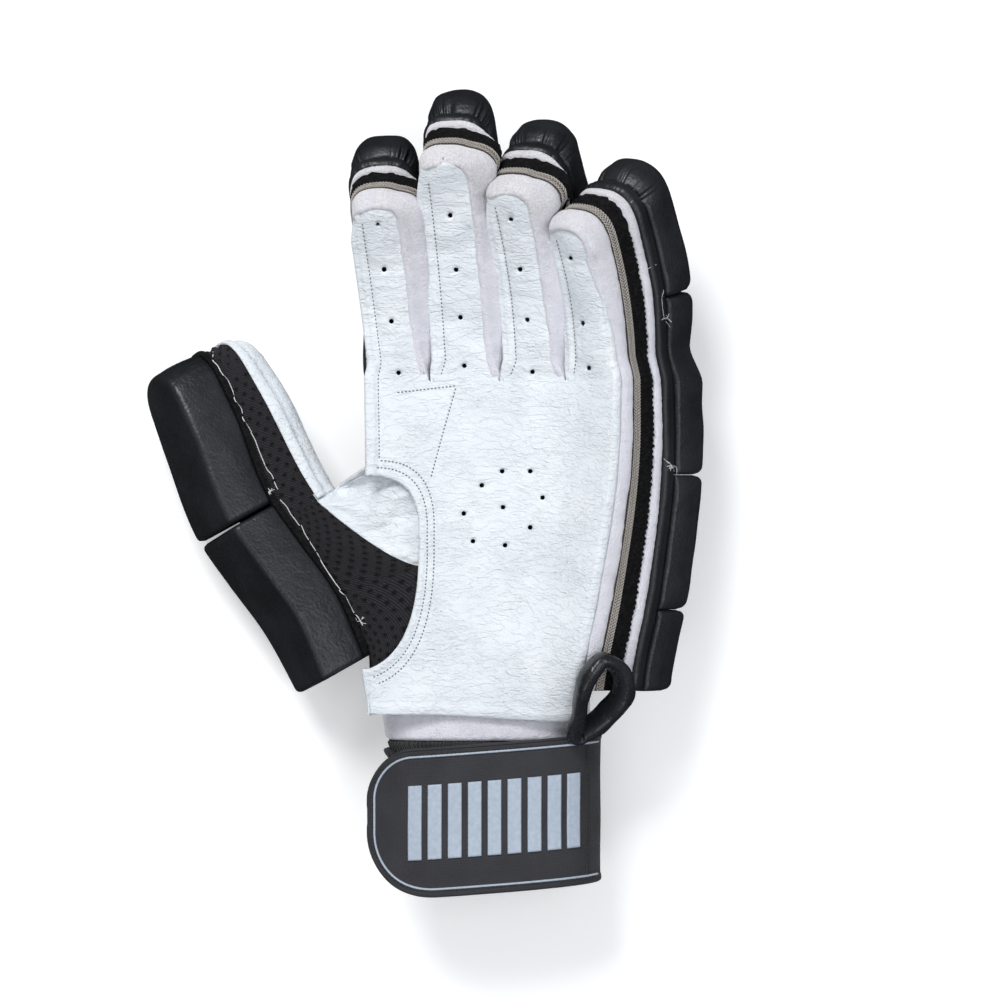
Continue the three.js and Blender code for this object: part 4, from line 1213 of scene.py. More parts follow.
def pad_ring(sections, top, full, corner, pushes, pinch, crown):
    """The rings of a pad behind the back line. pinch draws a ring in, crown fills its back."""
    straight = full - top - corner
    drops, insets, us = [], [], []
    for share in (0.0, 0.05, 0.13, 0.24, 0.38, 0.54, 0.7, 0.86):
        drops.append(top + straight * share)
        insets.append(-0.55 * np.sin(np.pi * min(share * 1.05 + 0.03, 1)) + 0.7 * (share == 0.0))
        us.append(0.0)
    for angle in np.linspace(0, np.pi / 2, 7):
        drops.append(full - corner + corner * np.sin(angle))
        insets.append(corner * (1 - np.cos(angle)))
        us.append(0.0)
    count = len(us)
    for u in np.linspace(0, 1, 9)[1:-1]:
        drops.append(full + crown * np.sin(np.pi * u))
        insets.append(insets[count - 1])
        us.append(u)
    for k in range(count - 1, -1, -1):
        drops.append(drops[k])
        insets.append(insets[k])
        us.append(1.0)
    rows = len(sections.s)
    drops = np.stack([np.broadcast_to(d, rows) for d in drops], 1)
    insets = np.stack([np.broadcast_to(i, rows) for i in insets], 1) + pinch[:, None]
    left, right = (push[:, None] - insets for push in pushes)
    return drops, left, right, np.array(us)[None]


def roll_spans(finger):
    """Where the rolls of a column start and end, tip first."""
    cuts = [-share * HAND_LENGTH for share in reversed(HAND_JOINTS)]
    cuts += [share * finger["length"] for share in finger["joints"]] + [finger["length"]]
    spans = [(start + (GROOVE / 2 if i else 0), end - GROOVE / 2)
             for i, (start, end) in enumerate(zip(cuts, cuts[1:]))]
    return spans[::-1]


def eased_stations(start, end, count):
    """Stations that lie closer together at both ends."""
    ease = np.linspace(0, 1, count)
    return start + (end - start) * (0.5 - 0.5 * np.cos(np.pi * ease) + ease) / 2


def end_shrink(s, start, end, reach, tip):
    """0 inside a roll and 1 at its ends, along a quarter circle."""
    gap = s - start if tip else np.minimum(s - start, end - s)
    t = np.clip(gap / reach, 0, 1)
    return 1 - np.sqrt(1 - (1 - t) ** 2)


def foam_piece(index, name, span, top, thickness, corner, tip, replaced, material, gather, seed):
    """A padded strip or roll of a column between two places along it."""
    finger = FINGERS[index]
    start, end = span
    if tip:
        s, turn = with_round_tip(start, finger["length"], finger["backWidth"] / 2, 1.0, 64)
        start -= ROLL_MEETS
    else:
        count = max(8, round(end - start))
        start, end = start - ROLL_MEETS, end + ROLL_MEETS
        s, turn = eased_stations(start, end, count), np.zeros(count)
    sections = column_sections(index, s, turn)
    shrink = end_shrink(s, start, end, 3.0, tip)
    full = top + thickness * (1 - 0.26 * shrink)
    pushes = [side_push(index, side, s) for side in (0, 1)]
    at_tip = smooth(np.degrees(turn) / 80)
    pushes = [lerp(push, sum(pushes) / 2, at_tip) for push in pushes]
    drops, left, right, u = pad_ring(sections, top, full, corner, pushes, 1.2 * shrink, 0.4)
    near_top = 1 - smooth((drops - top) / (0.75 * thickness))
    degrees = np.degrees(turn)[:, None]
    tip_share = smooth(degrees / 25) if tip else np.zeros((len(s), 1))
    sides = []
    for push, angle in ((left, degrees), (right, 180 - degrees)):
        folds = noise(angle / 8.5, 0.5, seed) + 0.6 * noise(angle / 3.9, 2.5, seed)
        rim = tip_share * gather * (np.minimum(folds, 0) * near_top ** 1.5 - 0.5 * near_top ** 6)
        side_lumps = lerp(noise(s[:, None] / 8, drops / 9, seed + 2), noise(angle / 24, drops / 9, seed + 3),
                          tip_share)
        sides.append(push + rim + 0.35 * side_lumps)
    shape = Shape()
    shape.rings(sections.behind(u, drops, *sides), (0,) if tip else (0, -1))
    made = shape.object(name, material)
    seat(made, replaced)


def fingers(finishes):
    """Everything of the four fingers behind the leather."""
    for index, finger in enumerate(FINGERS):
        name = finger["name"]
        gusset(index, finishes["towelling"])
        braid(index, finishes)
        mesh_band(index, finishes["mesh"])
        whole = (-HAND_LENGTH, finger["length"])
        foam_piece(index, f"{name}_base_cover", whole, 0.0, STRIP, 2.6, True, [f"{name}_base"],
                   finishes["pad"], 0.7, 40 + 10 * index)
        for number, span in enumerate(roll_spans(finger), 1):
            node = f"{name}_pad_{number}"
            foam_piece(index, f"{node}_cover", span, STRIP + CLEARANCE, ROLL, 3.2, number == 1, [node],
                       finishes["pad"], 2.6, 90 + 10 * index + number)


# The thumb

def thumb_leather(material):
    """The white front of the thumb, wrapped over its sides."""
    s, turn = with_round_tip(LEATHER_START * THUMB_LENGTH, THUMB_LENGTH, THUMB_HALF_TIP, 0.8, 16)
    sections = thumb_sections(s, turn)
    arc = np.linspace(0, np.pi / 2, 9)[None]
    depth = -sections.back[:, 0, 1][:, None]
    wrap = THUMB_WRAP + 0.1 * smooth((s[:, None] / THUMB_LENGTH - LEATHER_START) / 0.4)
    straight = np.linspace(1, 0, 9)[None, :-1]
    wall_v = lerp(THUMB_CORNER / depth, wrap, straight)
    wall_push = 0.5 * np.sin(np.pi * straight) + 0.9
    round_v = THUMB_CORNER * (1 - np.sin(arc)) / depth
    round_push = -THUMB_CORNER * (1 - np.cos(arc))
    sides = []
    for side in (0.0, 1.0):
        wall = sections.place(side, wall_v, wall_push)
        bend = sections.place(side, round_v, round_push)
        sides.append(np.concatenate([wall, bend], 1))
    u = np.linspace(0, 1, 17)[None, 1:-1]
    crown = THUMB_CROWN * np.sin(np.pi * u) ** 1.7 * np.cos(turn)[:, None]
    front = lerp(sides[0][:, -1:], sides[1][:, -1:], u[..., None]) + crown[..., None] * sections.out[:, None]
    net = np.concatenate([sides[0], front, sides[1][:, ::-1]], 1)
    run, column = s[:, None], np.arange(net.shape[1])[None]
    lumps = 0.3 * noise(run / 9, column / 6, 61) + 0.1 * noise(run / 2, net[..., 2] / 3, 62)
    middle = net.mean(1, keepdims=True)
    net = net + lumps[..., None] * unit(net - middle)
    shape = Shape()
    shape.grid(net)
    made = shape.object("thumb_leather_skin", material, closed=False)
    outward(made)
    thicken(made, LEATHER_SHEET)
    seat(made, ["thumb_leather"])
    cloth(made, *THUMB_CUT, "stretched", ["thumb_mesh"], THUMB_CUT_AREA)


def outward(made):
    """Turns an open shell's faces away from its middle."""
    middle = sum((Vector(face.center) for face in made.data.polygons), Vector()) / len(made.data.polygons)
    facing = sum((face.center - middle).dot(face.normal) * face.area for face in made.data.polygons)
    if facing < 0:
        made.data.flip_normals()


def under_palm(share):
    """Places just under the palm leather, along the edge of the thumb's opening."""
    outline = opening_outline(SEAM_ALLOWANCE)
    run = arc_length(outline)
    xy = at_run(outline, run, np.atleast_1d(share) * run[-1])
    return np.concatenate([xy, np.full((len(xy), 1), PALM_HEIGHT - LEATHER - CLEARANCE + 0.4)], 1)


def web_seam(t):
    """The seam between the web and the netting, from the thumb leather to the palm."""
    t = np.atleast_1d(t)
    sections = thumb_sections(lerp(LEATHER_START, WEB_SEAM_END, t) * THUMB_LENGTH - CLEARANCE)
    on_thumb = sections.place(0.0, (THUMB_WRAP * lerp(1, WEB_SEAM_WRAP, t))[:, None])[:, 0]
    return lerp(on_thumb, under_palm(WEB_REACH), (np.maximum(t, 0) ** WEB_SEAM_BEND)[:, None])


def thumb_web(material):
    """The creased leather between the thumb and the palm."""
    t = np.linspace(-0.07, 1, 96)
    corner = thumb_sections([LEATHER_START * THUMB_LENGTH - CLEARANCE]).place(0.0, 0.0)[0, 0]
    inner = web_seam(t) + np.array([0, 0, 0.5])
    outer = under_palm(lerp(WEB_START, WEB_REACH - 0.01, t))
    fold = lerp(corner, lerp(inner, outer, 0.5), smooth(t * WEB_FOLD)[:, None])
    sag = np.stack([0 * t, 0 * t, WEB_SAG * (1 - 2 * t)], 1)
    lines = [outer, lerp(fold, outer, 0.5) + sag, fold, lerp(inner, fold, 0.5), inner]
    net = np.stack([curve_through(np.stack(points), 60) for points in zip(*lines)])
    x, y = net[..., 0], net[..., 1]
    across = np.linspace(0, 1, 60)[None]
    slope = (y - 0.35 * x) / 4.6
    folds = noise(slope + 0.8 * noise(x / 9, y / 9, 71), x / 16, 72)
    small = noise((y - 0.3 * x) / 1.7, x / 5, 74)
    held = smooth(np.minimum(across, 1 - across) * 6)
    net[..., 2] += 0.7 * bump_at(t[:, None] - 0.05, 0.03) - 0.9 * (t[:, None] < 0)
    net[..., 2] += (1.9 * np.abs(folds) ** 1.2 * np.sign(folds) + 0.35 * small) * held
    shape = Shape()
    shape.grid(net, uv=net[..., :2])
    made = shape.object("thumb_web_skin", material, closed=False)
    face_up(made)
    thicken(made, 1.2)
    seat(made, ["thumb_web"])
    cloth(made, *WEB_CUT, "gathered", ["palm_leather", "thumb_leather"])


def perforated(shape, net, holes):
    """Adds a net with rows of dimples and notes where they are."""
    flat = flat_map(net)
    row = np.floor(flat[..., 1] / NET_ALONG)
    along = flat[..., 1] / NET_ALONG - row - 0.5
    over = (flat[..., 0] / NET_ACROSS + 0.5 * (row % 2)) % 1 - 0.5
    gap = np.hypot(over * NET_ACROSS / 0.8, along * NET_ALONG / 0.58)
    hole = 1 - smooth((gap - 0.7) / 0.5)
    rows, columns = net.shape[:2]
    inside_rows = np.minimum(np.arange(rows), np.arange(rows)[::-1])[:, None]
    inside_columns = np.minimum(np.arange(columns), np.arange(columns)[::-1])[None]
    hole = hole * smooth(np.minimum(inside_rows, inside_columns) / 4)
    normal = unit(np.cross(np.gradient(net, axis=0), np.gradient(net, axis=1)) + 1e-9)
    shape.grid(net - hole[..., None] * normal, uv=flat)
    holes.append(hole.ravel())


def thumb_netting_piece(material):
    """The black netting: the thumb's wall, the roof over to the palm and the floor below it."""
    shape = Shape()
    holes = []
    one_side = with_round_tip(LEATHER_START * THUMB_LENGTH, THUMB_LENGTH, THUMB_HALF_TIP, 0.5)
    s, turn, side = round_wall(one_side, one_side)
    sections, side = thumb_sections(s, turn), side[:, None]
    margin = CLEARANCE / (THUMB_WIDTH / 2)
    v = np.linspace(THUMB_WRAP - 0.05, 1 - margin, 40)[None]
    bulge = 0.6 * np.sin(np.pi * (v - THUMB_WRAP + 0.05) / (1.05 - THUMB_WRAP)) - 0.6
    perforated(shape, sections.place(side, v, bulge)[:, ::-1], holes)
    t = np.linspace(0, 1, 150)
    s = lerp(LEATHER_START * THUMB_LENGTH + 1, 0, t)
    outer = thumb_sections(s).place(0.0, 1 - margin)[:, 0]
    past = np.clip((t - ROOF_TURN) / (1 - ROOF_TURN), 0, 1)
    far = np.where((t < ROOF_TURN)[:, None], web_seam(np.clip(t / ROOF_TURN, 0, 1)),
                   under_palm(lerp(WEB_REACH, ROOF_END, past)))
    across = np.linspace(0, 1, 90)[None, :, None]
    roof = lerp(far[:, None], outer[:, None], across)
    roof[..., 2] += 1.4 * np.sin(np.pi * across[..., 0]) * smooth(t * 3)[:, None]
    perforated(shape, roof, holes)
    t = np.linspace(0, 1, 70)
    s = lerp(LEATHER_START * THUMB_LENGTH + 1, FLOOR_END * THUMB_LENGTH, t)
    under = thumb_sections(s)
    outer = under.place(1.0, 1 - margin)[:, 0]
    y = lerp(OPENING_TOP - SEAM_ALLOWANCE, OPENING_BOTTOM + SEAM_ALLOWANCE * FLOOR_LIFT, t)
    hand = hand_sections(0, y - KNUCKLE_Y)
    reach = OVERHANG + CLEARANCE + NETTING
    inner = hand.behind(0.0, STRIP / 2, reach, reach)[:, 0]
    inner = lerp(under.place(1.0, THUMB_WRAP + FLOOR_CORNER * margin)[:, 0], inner, smooth(t * 4)[:, None])
    floor = lerp(outer[:, None], inner[:, None], np.linspace(0, 1, 50)[None, :, None])
    perforated(shape, floor, holes)
    made = shape.object("thumb_mesh_netting", material, closed=False)
    mark(made, np.concatenate(shape.points), np.concatenate(holes))
    seat(made, ["thumb_mesh"])
    cloth(made, *NETTING_CUT, "stretched", ["thumb_base"], NETTING_CUT_AREA)


def mark(made, points, values):
    """Keeps how deep each point lies in a hole, for the material."""
    tree = KDTree(len(points))
    for i, point in enumerate(points * MM + SHIFT):
        tree.insert(point, i)
    tree.balance()
    layer = made.data.attributes.new("hole", "FLOAT", "POINT")
    layer.data.foreach_set("value", [values[tree.find(vert.co)[1]] for vert in made.data.vertices])


def thumb_block(name, start, end, top, thickness, corner, node, material, seed):
    """A pad of the thumb, or the strip that carries the pads."""
    tip = end == THUMB_LENGTH
    if tip:
        s, turn = with_round_tip(start, end, THUMB_HALF_TIP, 0.9, 24)
    else:
        s = eased_stations(start, end, round((end - start) / 0.8))
        turn = np.zeros(len(s))
    sections = thumb_sections(s, turn)
    shrink = end_shrink(s, start, end, 2.2, tip)
    full = top + thickness * (1 - 0.1 * shrink)
    pushes = [np.full(len(s), OVERHANG)] * 2
    drops, left, right, u = pad_ring(sections, top, full, corner, pushes, 1.6 * shrink, 0.0)
    degrees = np.degrees(turn)[:, None]
    near_top = 1 - smooth((drops - top) / (0.7 * thickness))
    round_tip = smooth((degrees - 10) / 30)
    padded = thickness > THUMB_STRIP
    folds = np.abs(noise(degrees / 6, 0.5, seed)) * near_top * round_tip * padded
    lumps = 0.35 * noise(s[:, None] / 12, drops / 8 + 9 * u, seed + 1) * padded
    shape = Shape()
    points = sections.behind(u, drops, left + lumps - 1.5 * folds, right + lumps - 1.2 * folds)
    shape.rings(points, (0,) if tip else (0, -1))
    made = shape.object(name, material)
    seat(made, [node])


def thumb(finishes):
    """The thumb from its leather to its two pads."""
    thumb_leather(finishes["leather"])
    thumb_web(finishes["leather"])
    thumb_netting_piece(finishes["netting"])
    thumb_block("thumb_base_strip", 0.0, THUMB_LENGTH, 0.0, THUMB_STRIP, 0.9,
                "thumb_base", finishes["mesh"], 300)
    top = THUMB_STRIP + CLEARANCE
    split = THUMB_SPLIT * THUMB_LENGTH
    thumb_block("thumb_pad_upper_cover", split + GROOVE / 2, THUMB_LENGTH, top, THUMB_ROLL, 2.4,
                "thumb_pad_upper", finishes["pad"], 310)
    thumb_block("thumb_pad_lower_cover", 0.0, split - GROOVE / 2, top, THUMB_ROLL, 2.4,
                "thumb_pad_lower", finishes["pad"], 320)


# The wrist

def cuff_drawn_in(x, y):
    """How far the soft cuff is drawn in on its left, under the strap's free end."""
    return CUFF_DRAW * smooth((-82 - y) / 24) * smooth((CUFF_X - 12 - x) / 18)


def cuff_points(growth, angle, y):
    """Places on the cuff's outline grown by growth, at angles from the right side over the top."""
    power = 2 / CUFF_SQUARE
    cos, sin = np.cos(angle), np.sin(angle)
    half_width, half_height = CUFF_HALF_WIDTH + growth, CUFF_HEIGHT / 2 + growth
    x = CUFF_X + half_width * np.sign(cos) * np.abs(cos) ** power
    z = CUFF_LIFT + CUFF_HEIGHT / 2 + half_height * np.sign(sin) * np.abs(sin) ** power
    x = x + cuff_drawn_in(x, y)
    return np.stack(np.broadcast_arrays(x, y, z), -1)


def cuff_angles(count):
    """Angles that lie evenly round the cuff."""
    fine = np.linspace(0, 2 * np.pi, 2000)
    line = cuff_points(0.0, fine, 0.0)
    run = arc_length(line)
    return np.interp(np.linspace(0, run[-1], count, endpoint=False), run, fine)


def sleeve(name, top, bottom, rough, ribs, material, node, beside):
    """A knitted band round the cuff, with a rounded edge at each end."""
    angle = cuff_angles(300)[None]
    rows = round((top - bottom) / 0.8)
    y = np.linspace(top, bottom, rows)[:, None]
    count = np.arange(angle.shape[1])[None]
    lip = np.minimum(np.minimum(top - y, y - bottom) / 1.1, 1)
    rounding = 1 - np.sqrt(1 - (1 - lip) ** 2)
    surface = rough * noise(count / 1.6, y / 1.1, 81) + 0.3 * noise(count / 14, y / 6, 82)
    surface = surface + ribs * np.cos(2 * np.pi * count / 3.0)
    outer = cuff_points(surface - rounding, angle, y)
    inner = cuff_points(0.5 * surface - CUFF_WALL + rounding, angle, y)
    shape = Shape()
    shape.grid(np.concatenate([outer, inner[::-1]]), ring=True, loop=True)
    made = shape.object(name, material)
    seat(made, [node])
    around = cuff_points(0.0, angle[0], top)
    cloth(made, top - bottom, arc_length(np.concatenate([around, around[:1]]))[-1], "stretched", [beside])


def strap_route():
    """The strap's underside seen from its edge: x, z and outward direction along its length."""
    turn = math.radians(360 + STRAP_OVERLAP)
    share = np.linspace(0, 1, 1600)
    growth = CLEARANCE + (STRAP_WALL + CLEARANCE) * share
    line = cuff_points(growth, math.radians(STRAP_FROM) + turn * share, 0.0)[:, [0, 2]]
    run = arc_length(line)
    line = line[run < run[-1] - TONGUE_FREE]
    start = line[-1]
    ahead = line[-1] - line[-2]
    reach = TONGUE_TIP - start[0]
    t = np.linspace(0, 1, 120)[1:, None]
    slope = ahead[1] / ahead[0] * reach
    tongue = np.concatenate([start[0] + reach * t, start[1] + slope * t - TONGUE_DROP * t**2], 1)
    line = np.concatenate([line, tongue])
    along = unit(np.gradient(line, axis=0))
    return line, np.stack([along[:, 1], -along[:, 0]], 1), arc_length(line)


STRAP_LINE, STRAP_OUT, STRAP_RUN = strap_route()


def strap_at(distance, offset, lift):
    """A place on the strap: millimetres from its free end, from its upper edge and above its underside."""
    distance, offset, lift = np.broadcast_arrays(distance, offset, lift)
    run = STRAP_RUN[-1] - distance
    x, z, out_x, out_z = (np.interp(run, STRAP_RUN, column) for column in (*STRAP_LINE.T, *STRAP_OUT.T))
    lift = lift + 0.35 * noise(distance / 17, offset / 15, 91) * (distance < 110)
    x, z = x + lift * out_x, z + lift * out_z
    y = STRAP_TOP - offset + STRAP_SLANT * (x - CUFF_X)
    x = x + cuff_drawn_in(x, y) * (distance > 70)
    return np.stack([x, y, z], -1)


def end_corner(distance):
    """How far the strap's edges run in towards its rounded free end: the upper and the lower edge."""
    upper = np.clip(1 - distance / CORNER_UPPER, 0, 1)
    lower = np.clip(1 - distance / CORNER_LOWER, 0, 1)
    return CORNER_UPPER * (1 - np.sqrt(1 - upper**2)), CORNER_DEPTH * (1 - np.sqrt(1 - lower**2.2))


def strap(finishes):
    """The strap's webbing with its bound edges, once round the cuff."""
    length = STRAP_RUN[-1]
    distance = np.concatenate([24 * np.linspace(0, 1, 40)[:-1] ** 1.6, np.linspace(24, length, 260)])
    edge = np.linspace(-np.pi / 2, np.pi / 2, 7)
    round_in = 0.9 * (1 - np.cos(edge))
    half = STRAP_WALL / 2
    top = np.linspace(0.02, 0.98, 60)
    upper, lower = end_corner(distance)
    first, last = upper[:, None], STRAP_WIDTH - lower[:, None]
    last = np.maximum(last, first + 0.5) - 4.0 * smooth((distance[:, None] - 110) / 40)
    offset = np.concatenate([
        first + round_in[None, ::-1], lerp(first, last, top[None]),
        last - round_in[None], lerp(first, last, top[None, ::-1]),
    ], 1)
    lift = np.concatenate([half - half * np.sin(edge[::-1]), np.full(len(top), 0.0),
                           half + half * np.sin(edge), np.full(len(top), STRAP_WALL)])
    binding = 0.3 * smooth((offset - first - 2.2) / 0.5) * smooth((last - offset - 2.2) / 0.5)
    outer_face = (lift > half)[None]
    shape = Shape()
    shape.rings(strap_at(distance[:, None], offset, lift[None] - binding * outer_face))
    made = shape.object("strap_webbing", finishes["strap"])
    seat(made, ["strap"])
    cloth(made, STRAP_WIDTH, length, "stretched", ["cuff_wristband"])


def rim_route(inset, reach):
    """A line that keeps the same distance from the strap's edges and its free end."""
    distance = np.concatenate([26 * np.linspace(0, 1, 90) ** 2, np.linspace(26, reach, 60)[1:]])
    upper, lower = end_corner(distance)
    rim = np.concatenate([np.stack([distance, upper], 1)[::-1],
                          np.stack([distance, np.maximum(STRAP_WIDTH - lower, upper)], 1)])
    rim = resample(rim, 500)
    ahead = unit(np.gradient(rim, axis=0))
    return rim + inset * np.stack([ahead[:, 1], -ahead[:, 0]], 1)


def strap_line(finishes):
    """The thin light line inside the strap's bound edge."""
    route = resample(rim_route(LINE_INSET, LINE_REACH), 620)
    shape = Shape()
    shape.tube(strap_at(route[:, 0], route[:, 1], STRAP_WALL - 0.1), 0.42)
    seat(shape.object("strap_piping", finishes["print"]), [])


def strap_stitches(finishes):
    """Dark stitches outside the light line and across the strap."""
    shape = Shape()
    cross = np.stack([np.full(60, CROSS_STITCHES), np.linspace(3.2, STRAP_WIDTH - 3.2, 60)], 1)
    lift = STRAP_WALL + np.array([-0.12, 0.04, 0.08, 0.04, -0.12])
    for route in (rim_route(STITCH_INSET, LINE_REACH), cross):
        run = arc_length(route)
        for start in np.arange(0.5, run[-1] - 1, 1.35):
            distance, offset = at_run(route, run, start + np.linspace(0, 0.85, 5)).T
            shape.tube(strap_at(distance, offset, lift), 0.3, sides=5)
    seat(shape.object("strap_stitching", finishes["dark_thread"]), [])


def strap_bars(finishes):
    """Plain upright bars printed on the strap's free end."""
    shape = Shape()
    pitch = (BARS_ALONG[1] - BARS_ALONG[0]) / BARS
    offset = np.linspace(*BARS_ACROSS, 40)
    for bar in range(BARS):
        middle = BARS_ALONG[0] + pitch * (bar + 0.5)
        distance = np.linspace(middle - 0.34 * pitch, middle + 0.34 * pitch, 12)
        top, under = (strap_at(distance[:, None], offset[None], STRAP_WALL + lift) for lift in (0.24, -0.7))
        shape.grid(top)
        shape.grid(under[::-1])
        rims = [np.concatenate([net[0], net[1:, -1], net[-1, -2::-1], net[-2:0:-1, 0]])
                for net in (under, top)]
        shape.grid(np.stack(rims), ring=True)
    seat(shape.object("strap_bars", finishes["print"]), [])


def pull_loop(material):
    """The twisted leather loop beside the strap."""
    foot = np.array([CUFF_X + CUFF_HALF_WIDTH, STRAP_TOP, CUFF_LIFT + CUFF_HEIGHT])
    line = curve_through(np.array(LOOP_PATH) + foot, 160, closed=True)
    ahead = unit(np.roll(line, -1, 0) - np.roll(line, 1, 0))
    away = unit(line - line.mean(0))
    up = unit(np.array([0, 0, 1.0]) + 0.55 * away * (1, 1, 0))
    side = unit(np.cross(ahead, up))
    up = np.cross(side, ahead)
    angle = np.linspace(0, 2 * np.pi, 28, endpoint=False)
    flat, wide = (np.sign(wave) * np.abs(wave) ** 0.8 for wave in (np.sin(angle), np.cos(angle)))
    run = np.arange(len(line))[:, None]
    twist = np.radians(42) * np.sin(2 * np.pi * (run / len(line) - 0.1))
    up, side = up * np.cos(twist) + side * np.sin(twist), side * np.cos(twist) - up * np.sin(twist)
    pucker = 1 + 0.12 * noise(run / 11, angle[None] * 0.9, 95)
    ring = (wide * LOOP_HEIGHT / 2)[None, :, None] * up[:, None] * pucker[..., None]
    ring = ring + (flat * (LOOP_WALL / 2 + 1.7))[None, :, None] * side[:, None] * pucker[..., None]
    shape = Shape()
    shape.grid(line[:, None] + ring, ring=True, loop=True)
    seat(shape.object("pull_loop_leather", material), ["pull_loop"])


def wrist(finishes):
    """The cuff, the wristband, the strap and the pull loop."""
    sleeve("cuff_band_terry", CUFF_TOP, CUFF_END, 0.28, 0.0, finishes["towelling"], "cuff_band",
           "cuff_wristband")
    sleeve("cuff_wristband_knit", CUFF_END - CLEARANCE, WRISTBAND_END, 0.06, 0.18, finishes["wristband"],
           "cuff_wristband", "cuff_band")
    strap(finishes)
    strap_line(finishes)
    strap_stitches(finishes)
    strap_bars(finishes)
    pull_loop(finishes["loop"])


# Stitches

def hit_below(tree, x, y):
    """Where a ray straight down at a place meets a surface, or None."""
    above = Vector((x * MM + SHIFT[0], y * MM + SHIFT[1], ABOVE))
    return tree.ray_cast(above, Vector((0, 0, -1)))[0]


def sew(name, lines, target, pitch, length, radius, material, sunk):
    """Stitches along lines seen from above, laid on a surface and sunk into it a little."""
    tree = BVHTree.FromObject(target, bpy.context.evaluated_depsgraph_get())
    arch = np.array([-0.35, 0.05, 0.14, 0.05, -0.35]) * radius * 2 - sunk
    shape = Shape()
    for line in lines:
        run = arc_length(line)
        for start in np.arange(pitch / 2, run[-1] - length / 2, pitch):
            at = start + np.linspace(-0.5, 0.5, 5) * length
            hits = [hit_below(tree, x, y) for x, y in at_run(line, run, at).tolist()]
            if all(hit is not None for hit in hits):
                stitch = (np.array(hits) - SHIFT) / MM
                stitch[:, 2] += arch
                shape.tube(stitch, radius * np.array([0.75, 1, 1.05, 1, 0.75]))
    seat(shape.object(name, material), [])


def finger_stitch_lines():
    """The seams along each finger's two sides, a little inside the leather's edge."""
    lines = []
    last = len(FINGERS) - 1
    for index, finger in enumerate(FINGERS):
        first = OPENING_TOP + 6 - KNUCKLE_Y if index == 0 else 2.5
        s = np.linspace(first, finger["length"] * 0.9, 60)
        lines.append(column_sections(index, s).place(0.0, 0.0, -SEAM_INSET)[:, 0, :2])
        if index < last:
            s = np.linspace(finger["length"] * 0.3, 2.5, 40)
            lines.append(column_sections(index, s).place(1.0, 0.0, -FOLD_IN - 0.9)[:, 0, :2])
    return lines


def stitching(palm, finishes):
    """The dark stitches of the fingers, of the thumb's opening and of the patch above it."""
    rows = []
    for gap in OPENING_SEAMS:
        grown = opening_outline(gap)
        keep = (grown[:, 0] > -21.5) & (grown[:, 1] < OPENING_TOP + gap + 0.1)
        rows.append(grown[keep])
    patch = [from_pixels([(397, 393), (458, 386)]), from_pixels([(456, 388), (444, 430), (431, 478)])]
    lines = finger_stitch_lines() + rows + patch
    sew("palm_stitching", lines, palm, *PALM_STITCH, finishes["stitch"], 0.06)


def wander(start, end, count, sway, seed):
    """A loose thread between two pixels, swaying to both sides."""
    t = np.linspace(0, 1, count)
    line = lerp(from_pixels([start]), from_pixels([end]), t[:, None])
    step = line[-1] - line[0]
    aside = np.array([-step[1], step[0]]) / np.hypot(*step)
    return line + (sway * noise(t * count / 4.0, 0.0, seed))[:, None] * aside


# The loose threads: their radius, and their runs between two pixels with the points, the sway and the seed
LOOSE_THREADS = [
    (0.2, ((209, 352), (222, 372), 12, 0.8, 501), ((222, 372), (251, 432), 26, 0.5, 502),
     ((251, 432), (277, 490), 26, 0.6, 503)),
    (0.2, ((281, 499), (300, 525), 14, 0.4, 504), ((300, 525), (340, 590), 28, 0.5, 505),
     ((340, 590), (362, 626), 20, 0.6, 506)),
    (0.1, ((640, 275), (655, 267), 8, 0.3, 507)),
    (0.1, ((660, 292), (668, 328), 16, 1.2, 508)),
    (0.1, ((664, 458), (676, 476), 12, 2.0, 509)),
]

# The tufts of short ends: their pixel and how many ends
TUFTS = [((271, 490), 6), ((360, 622), 5), ((672, 466), 6), ((666, 320), 4)]


def loose_threads(finishes):
    """The white seam thread along the thumb's pads and short ends at the grooves."""
    lines = []
    for radius, *threads in LOOSE_THREADS:
        lines.append((np.concatenate([wander(*thread) for thread in threads]), radius))
    rng = np.random.default_rng(77)
    for (x, y), count in TUFTS:
        for _ in range(count):
            dx, dy = rng.uniform(-6, 6, 2)
            lines.append((wander((x, y), (x + dx, y + dy), 8, 0.7, int(rng.integers(900))), 0.13))
    graph = bpy.context.evaluated_depsgraph_get()
    trees = [BVHTree.FromObject(made, graph) for made in PIECES]
    shape = Shape()
    for line, radius in lines:
        spots = []
        for x, y in line:
            hits = [hit_below(tree, x, y) for tree in trees]
            tops = [hit.z for hit in hits if hit is not None]
            if tops:
                spots.append((x, y, (max(tops) - SHIFT[2]) / MM + radius * 0.8))
        if len(spots) > 3:
            spots = np.array(spots)
            spots[:, 2] = np.convolve(np.pad(spots[:, 2], 1, "edge"), [0.25, 0.5, 0.25], "valid")
            shape.tube(spots, radius, sides=5)
    seat(shape.object("loose_seam_threads", finishes["loose"]), [])


# The stage

def stage():
    """A pale floor that glows a little, as the photograph's white ground."""
    bpy.ops.mesh.primitive_plane_add(size=6, location=(0, 0, 0))
    floor = bpy.context.object
    floor.name = "floor"
    finish = Finish("floor", roughness=0.9)
    tone = finish.noise(finish.space(), 0.002, 2.0)
    finish.colour(finish.mix(tone, (0.86, 0.865, 0.875), (0.9, 0.9, 0.905)))
    finish.shader.inputs["Emission Color"].default_value = (1, 1, 1, 1)
    finish.shader.inputs["Emission Strength"].default_value = 0.28
    floor.data.materials.append(finish.material)
    floor.visible_glossy = False


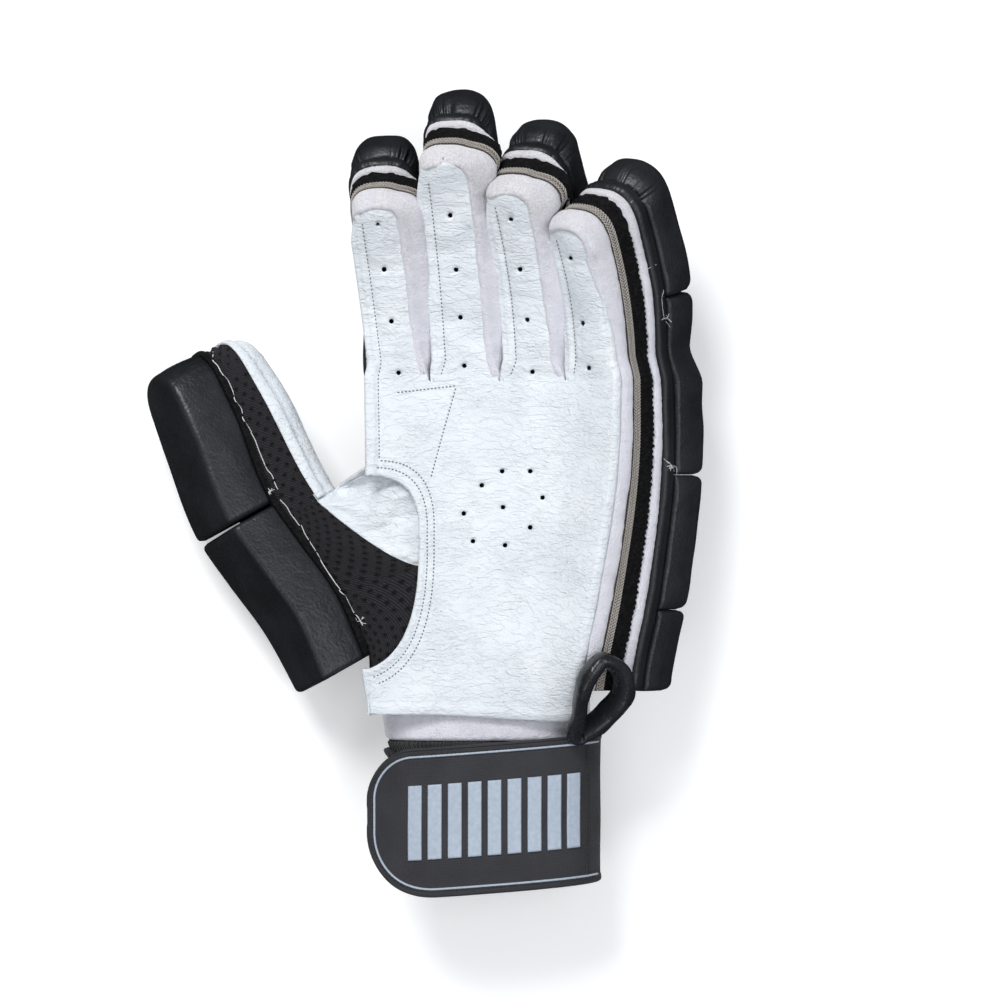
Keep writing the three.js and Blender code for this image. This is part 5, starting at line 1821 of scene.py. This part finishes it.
def light(name, place, size, power, tint=(1, 1, 1)):
    """A soft light aimed at the glove."""
    data = bpy.data.lights.new(name, "AREA")
    data.energy = power
    data.size = size
    data.color = tint
    made = bpy.data.objects.new(name, data)
    made.location = place
    made.rotation_euler = (Vector((0, 0, 0.03)) - Vector(place)).to_track_quat("-Z", "Y").to_euler()
    bpy.context.scene.collection.objects.link(made)


def studio():
    """A dim room that is darker below, and soft lights above."""
    world = bpy.data.worlds.new("studio")
    bpy.context.scene.world = world
    world.use_nodes = True
    nodes, links = world.node_tree.nodes, world.node_tree.links
    towards = nodes.new("ShaderNodeTexCoord")
    parts = nodes.new("ShaderNodeSeparateXYZ")
    height = nodes.new("ShaderNodeMapRange")
    for socket, value in (("From Min", -0.1), ("From Max", 0.9), ("To Min", 0.03), ("To Max", 0.42)):
        height.inputs[socket].default_value = value
    links.new(towards.outputs["Generated"], parts.inputs[0])
    links.new(parts.outputs["Z"], height.inputs["Value"])
    links.new(height.outputs["Result"], nodes["Background"].inputs[1])
    nodes["Background"].inputs[0].default_value = (0.93, 0.96, 1.0, 1)
    light("key", (-0.45, 1.0, 1.25), 0.6, 20)
    light("fill", (0.75, -0.1, 1.3), 0.8, 6, (0.95, 0.97, 1.0))
    light("low", (-0.2, -0.9, 1.2), 0.8, 4)


def camera():
    """Straight above, with the photograph's frame."""
    middle = from_pixels([(PHOTO / 2, PHOTO / 2)])[0]
    focus = 0.04
    height = 1.6
    data = bpy.data.cameras.new("camera")
    data.sensor_width = 36
    data.sensor_fit = "HORIZONTAL"
    data.lens = data.sensor_width * height / (PHOTO * PIXEL * MM)
    data.clip_end = 20
    made = bpy.data.objects.new("camera", data)
    made.location = (middle[0] * MM + SHIFT[0], middle[1] * MM + SHIFT[1], focus + height)
    bpy.context.scene.collection.objects.link(made)
    bpy.context.scene.camera = made
    bpy.context.scene.view_settings.view_transform = "Standard"


# The whole scene

finishes = {
    "leather": white_leather(),
    "pad": black_leather(),
    "loop": black_leather("loop_leather", 0.26),
    "towelling": towelling(),
    "braid": thread("braid_yarn", (0.47, 0.43, 0.39), 0.5),
    "braid_tape": thread("braid_tape_yarn", (0.06, 0.048, 0.042), 0.9),
    "mesh": mesh_tape(),
    "netting": thumb_netting(),
    "wristband": wristband_knit(),
    "strap": strap_cloth(),
    "print": print_grey(),
    "stitch": thread("stitch_thread", (0.15, 0.175, 0.185)),
    "dark_thread": thread("dark_thread", (0.006, 0.006, 0.008), 0.6),
    "loose": thread("loose_thread", (0.72, 0.72, 0.72)),
}

camera()
studio()
stage()
palm = palm_leather(finishes["leather"])
fingers(finishes)
thumb(finishes)
wrist(finishes)
stitching(palm, finishes)
loose_threads(finishes)
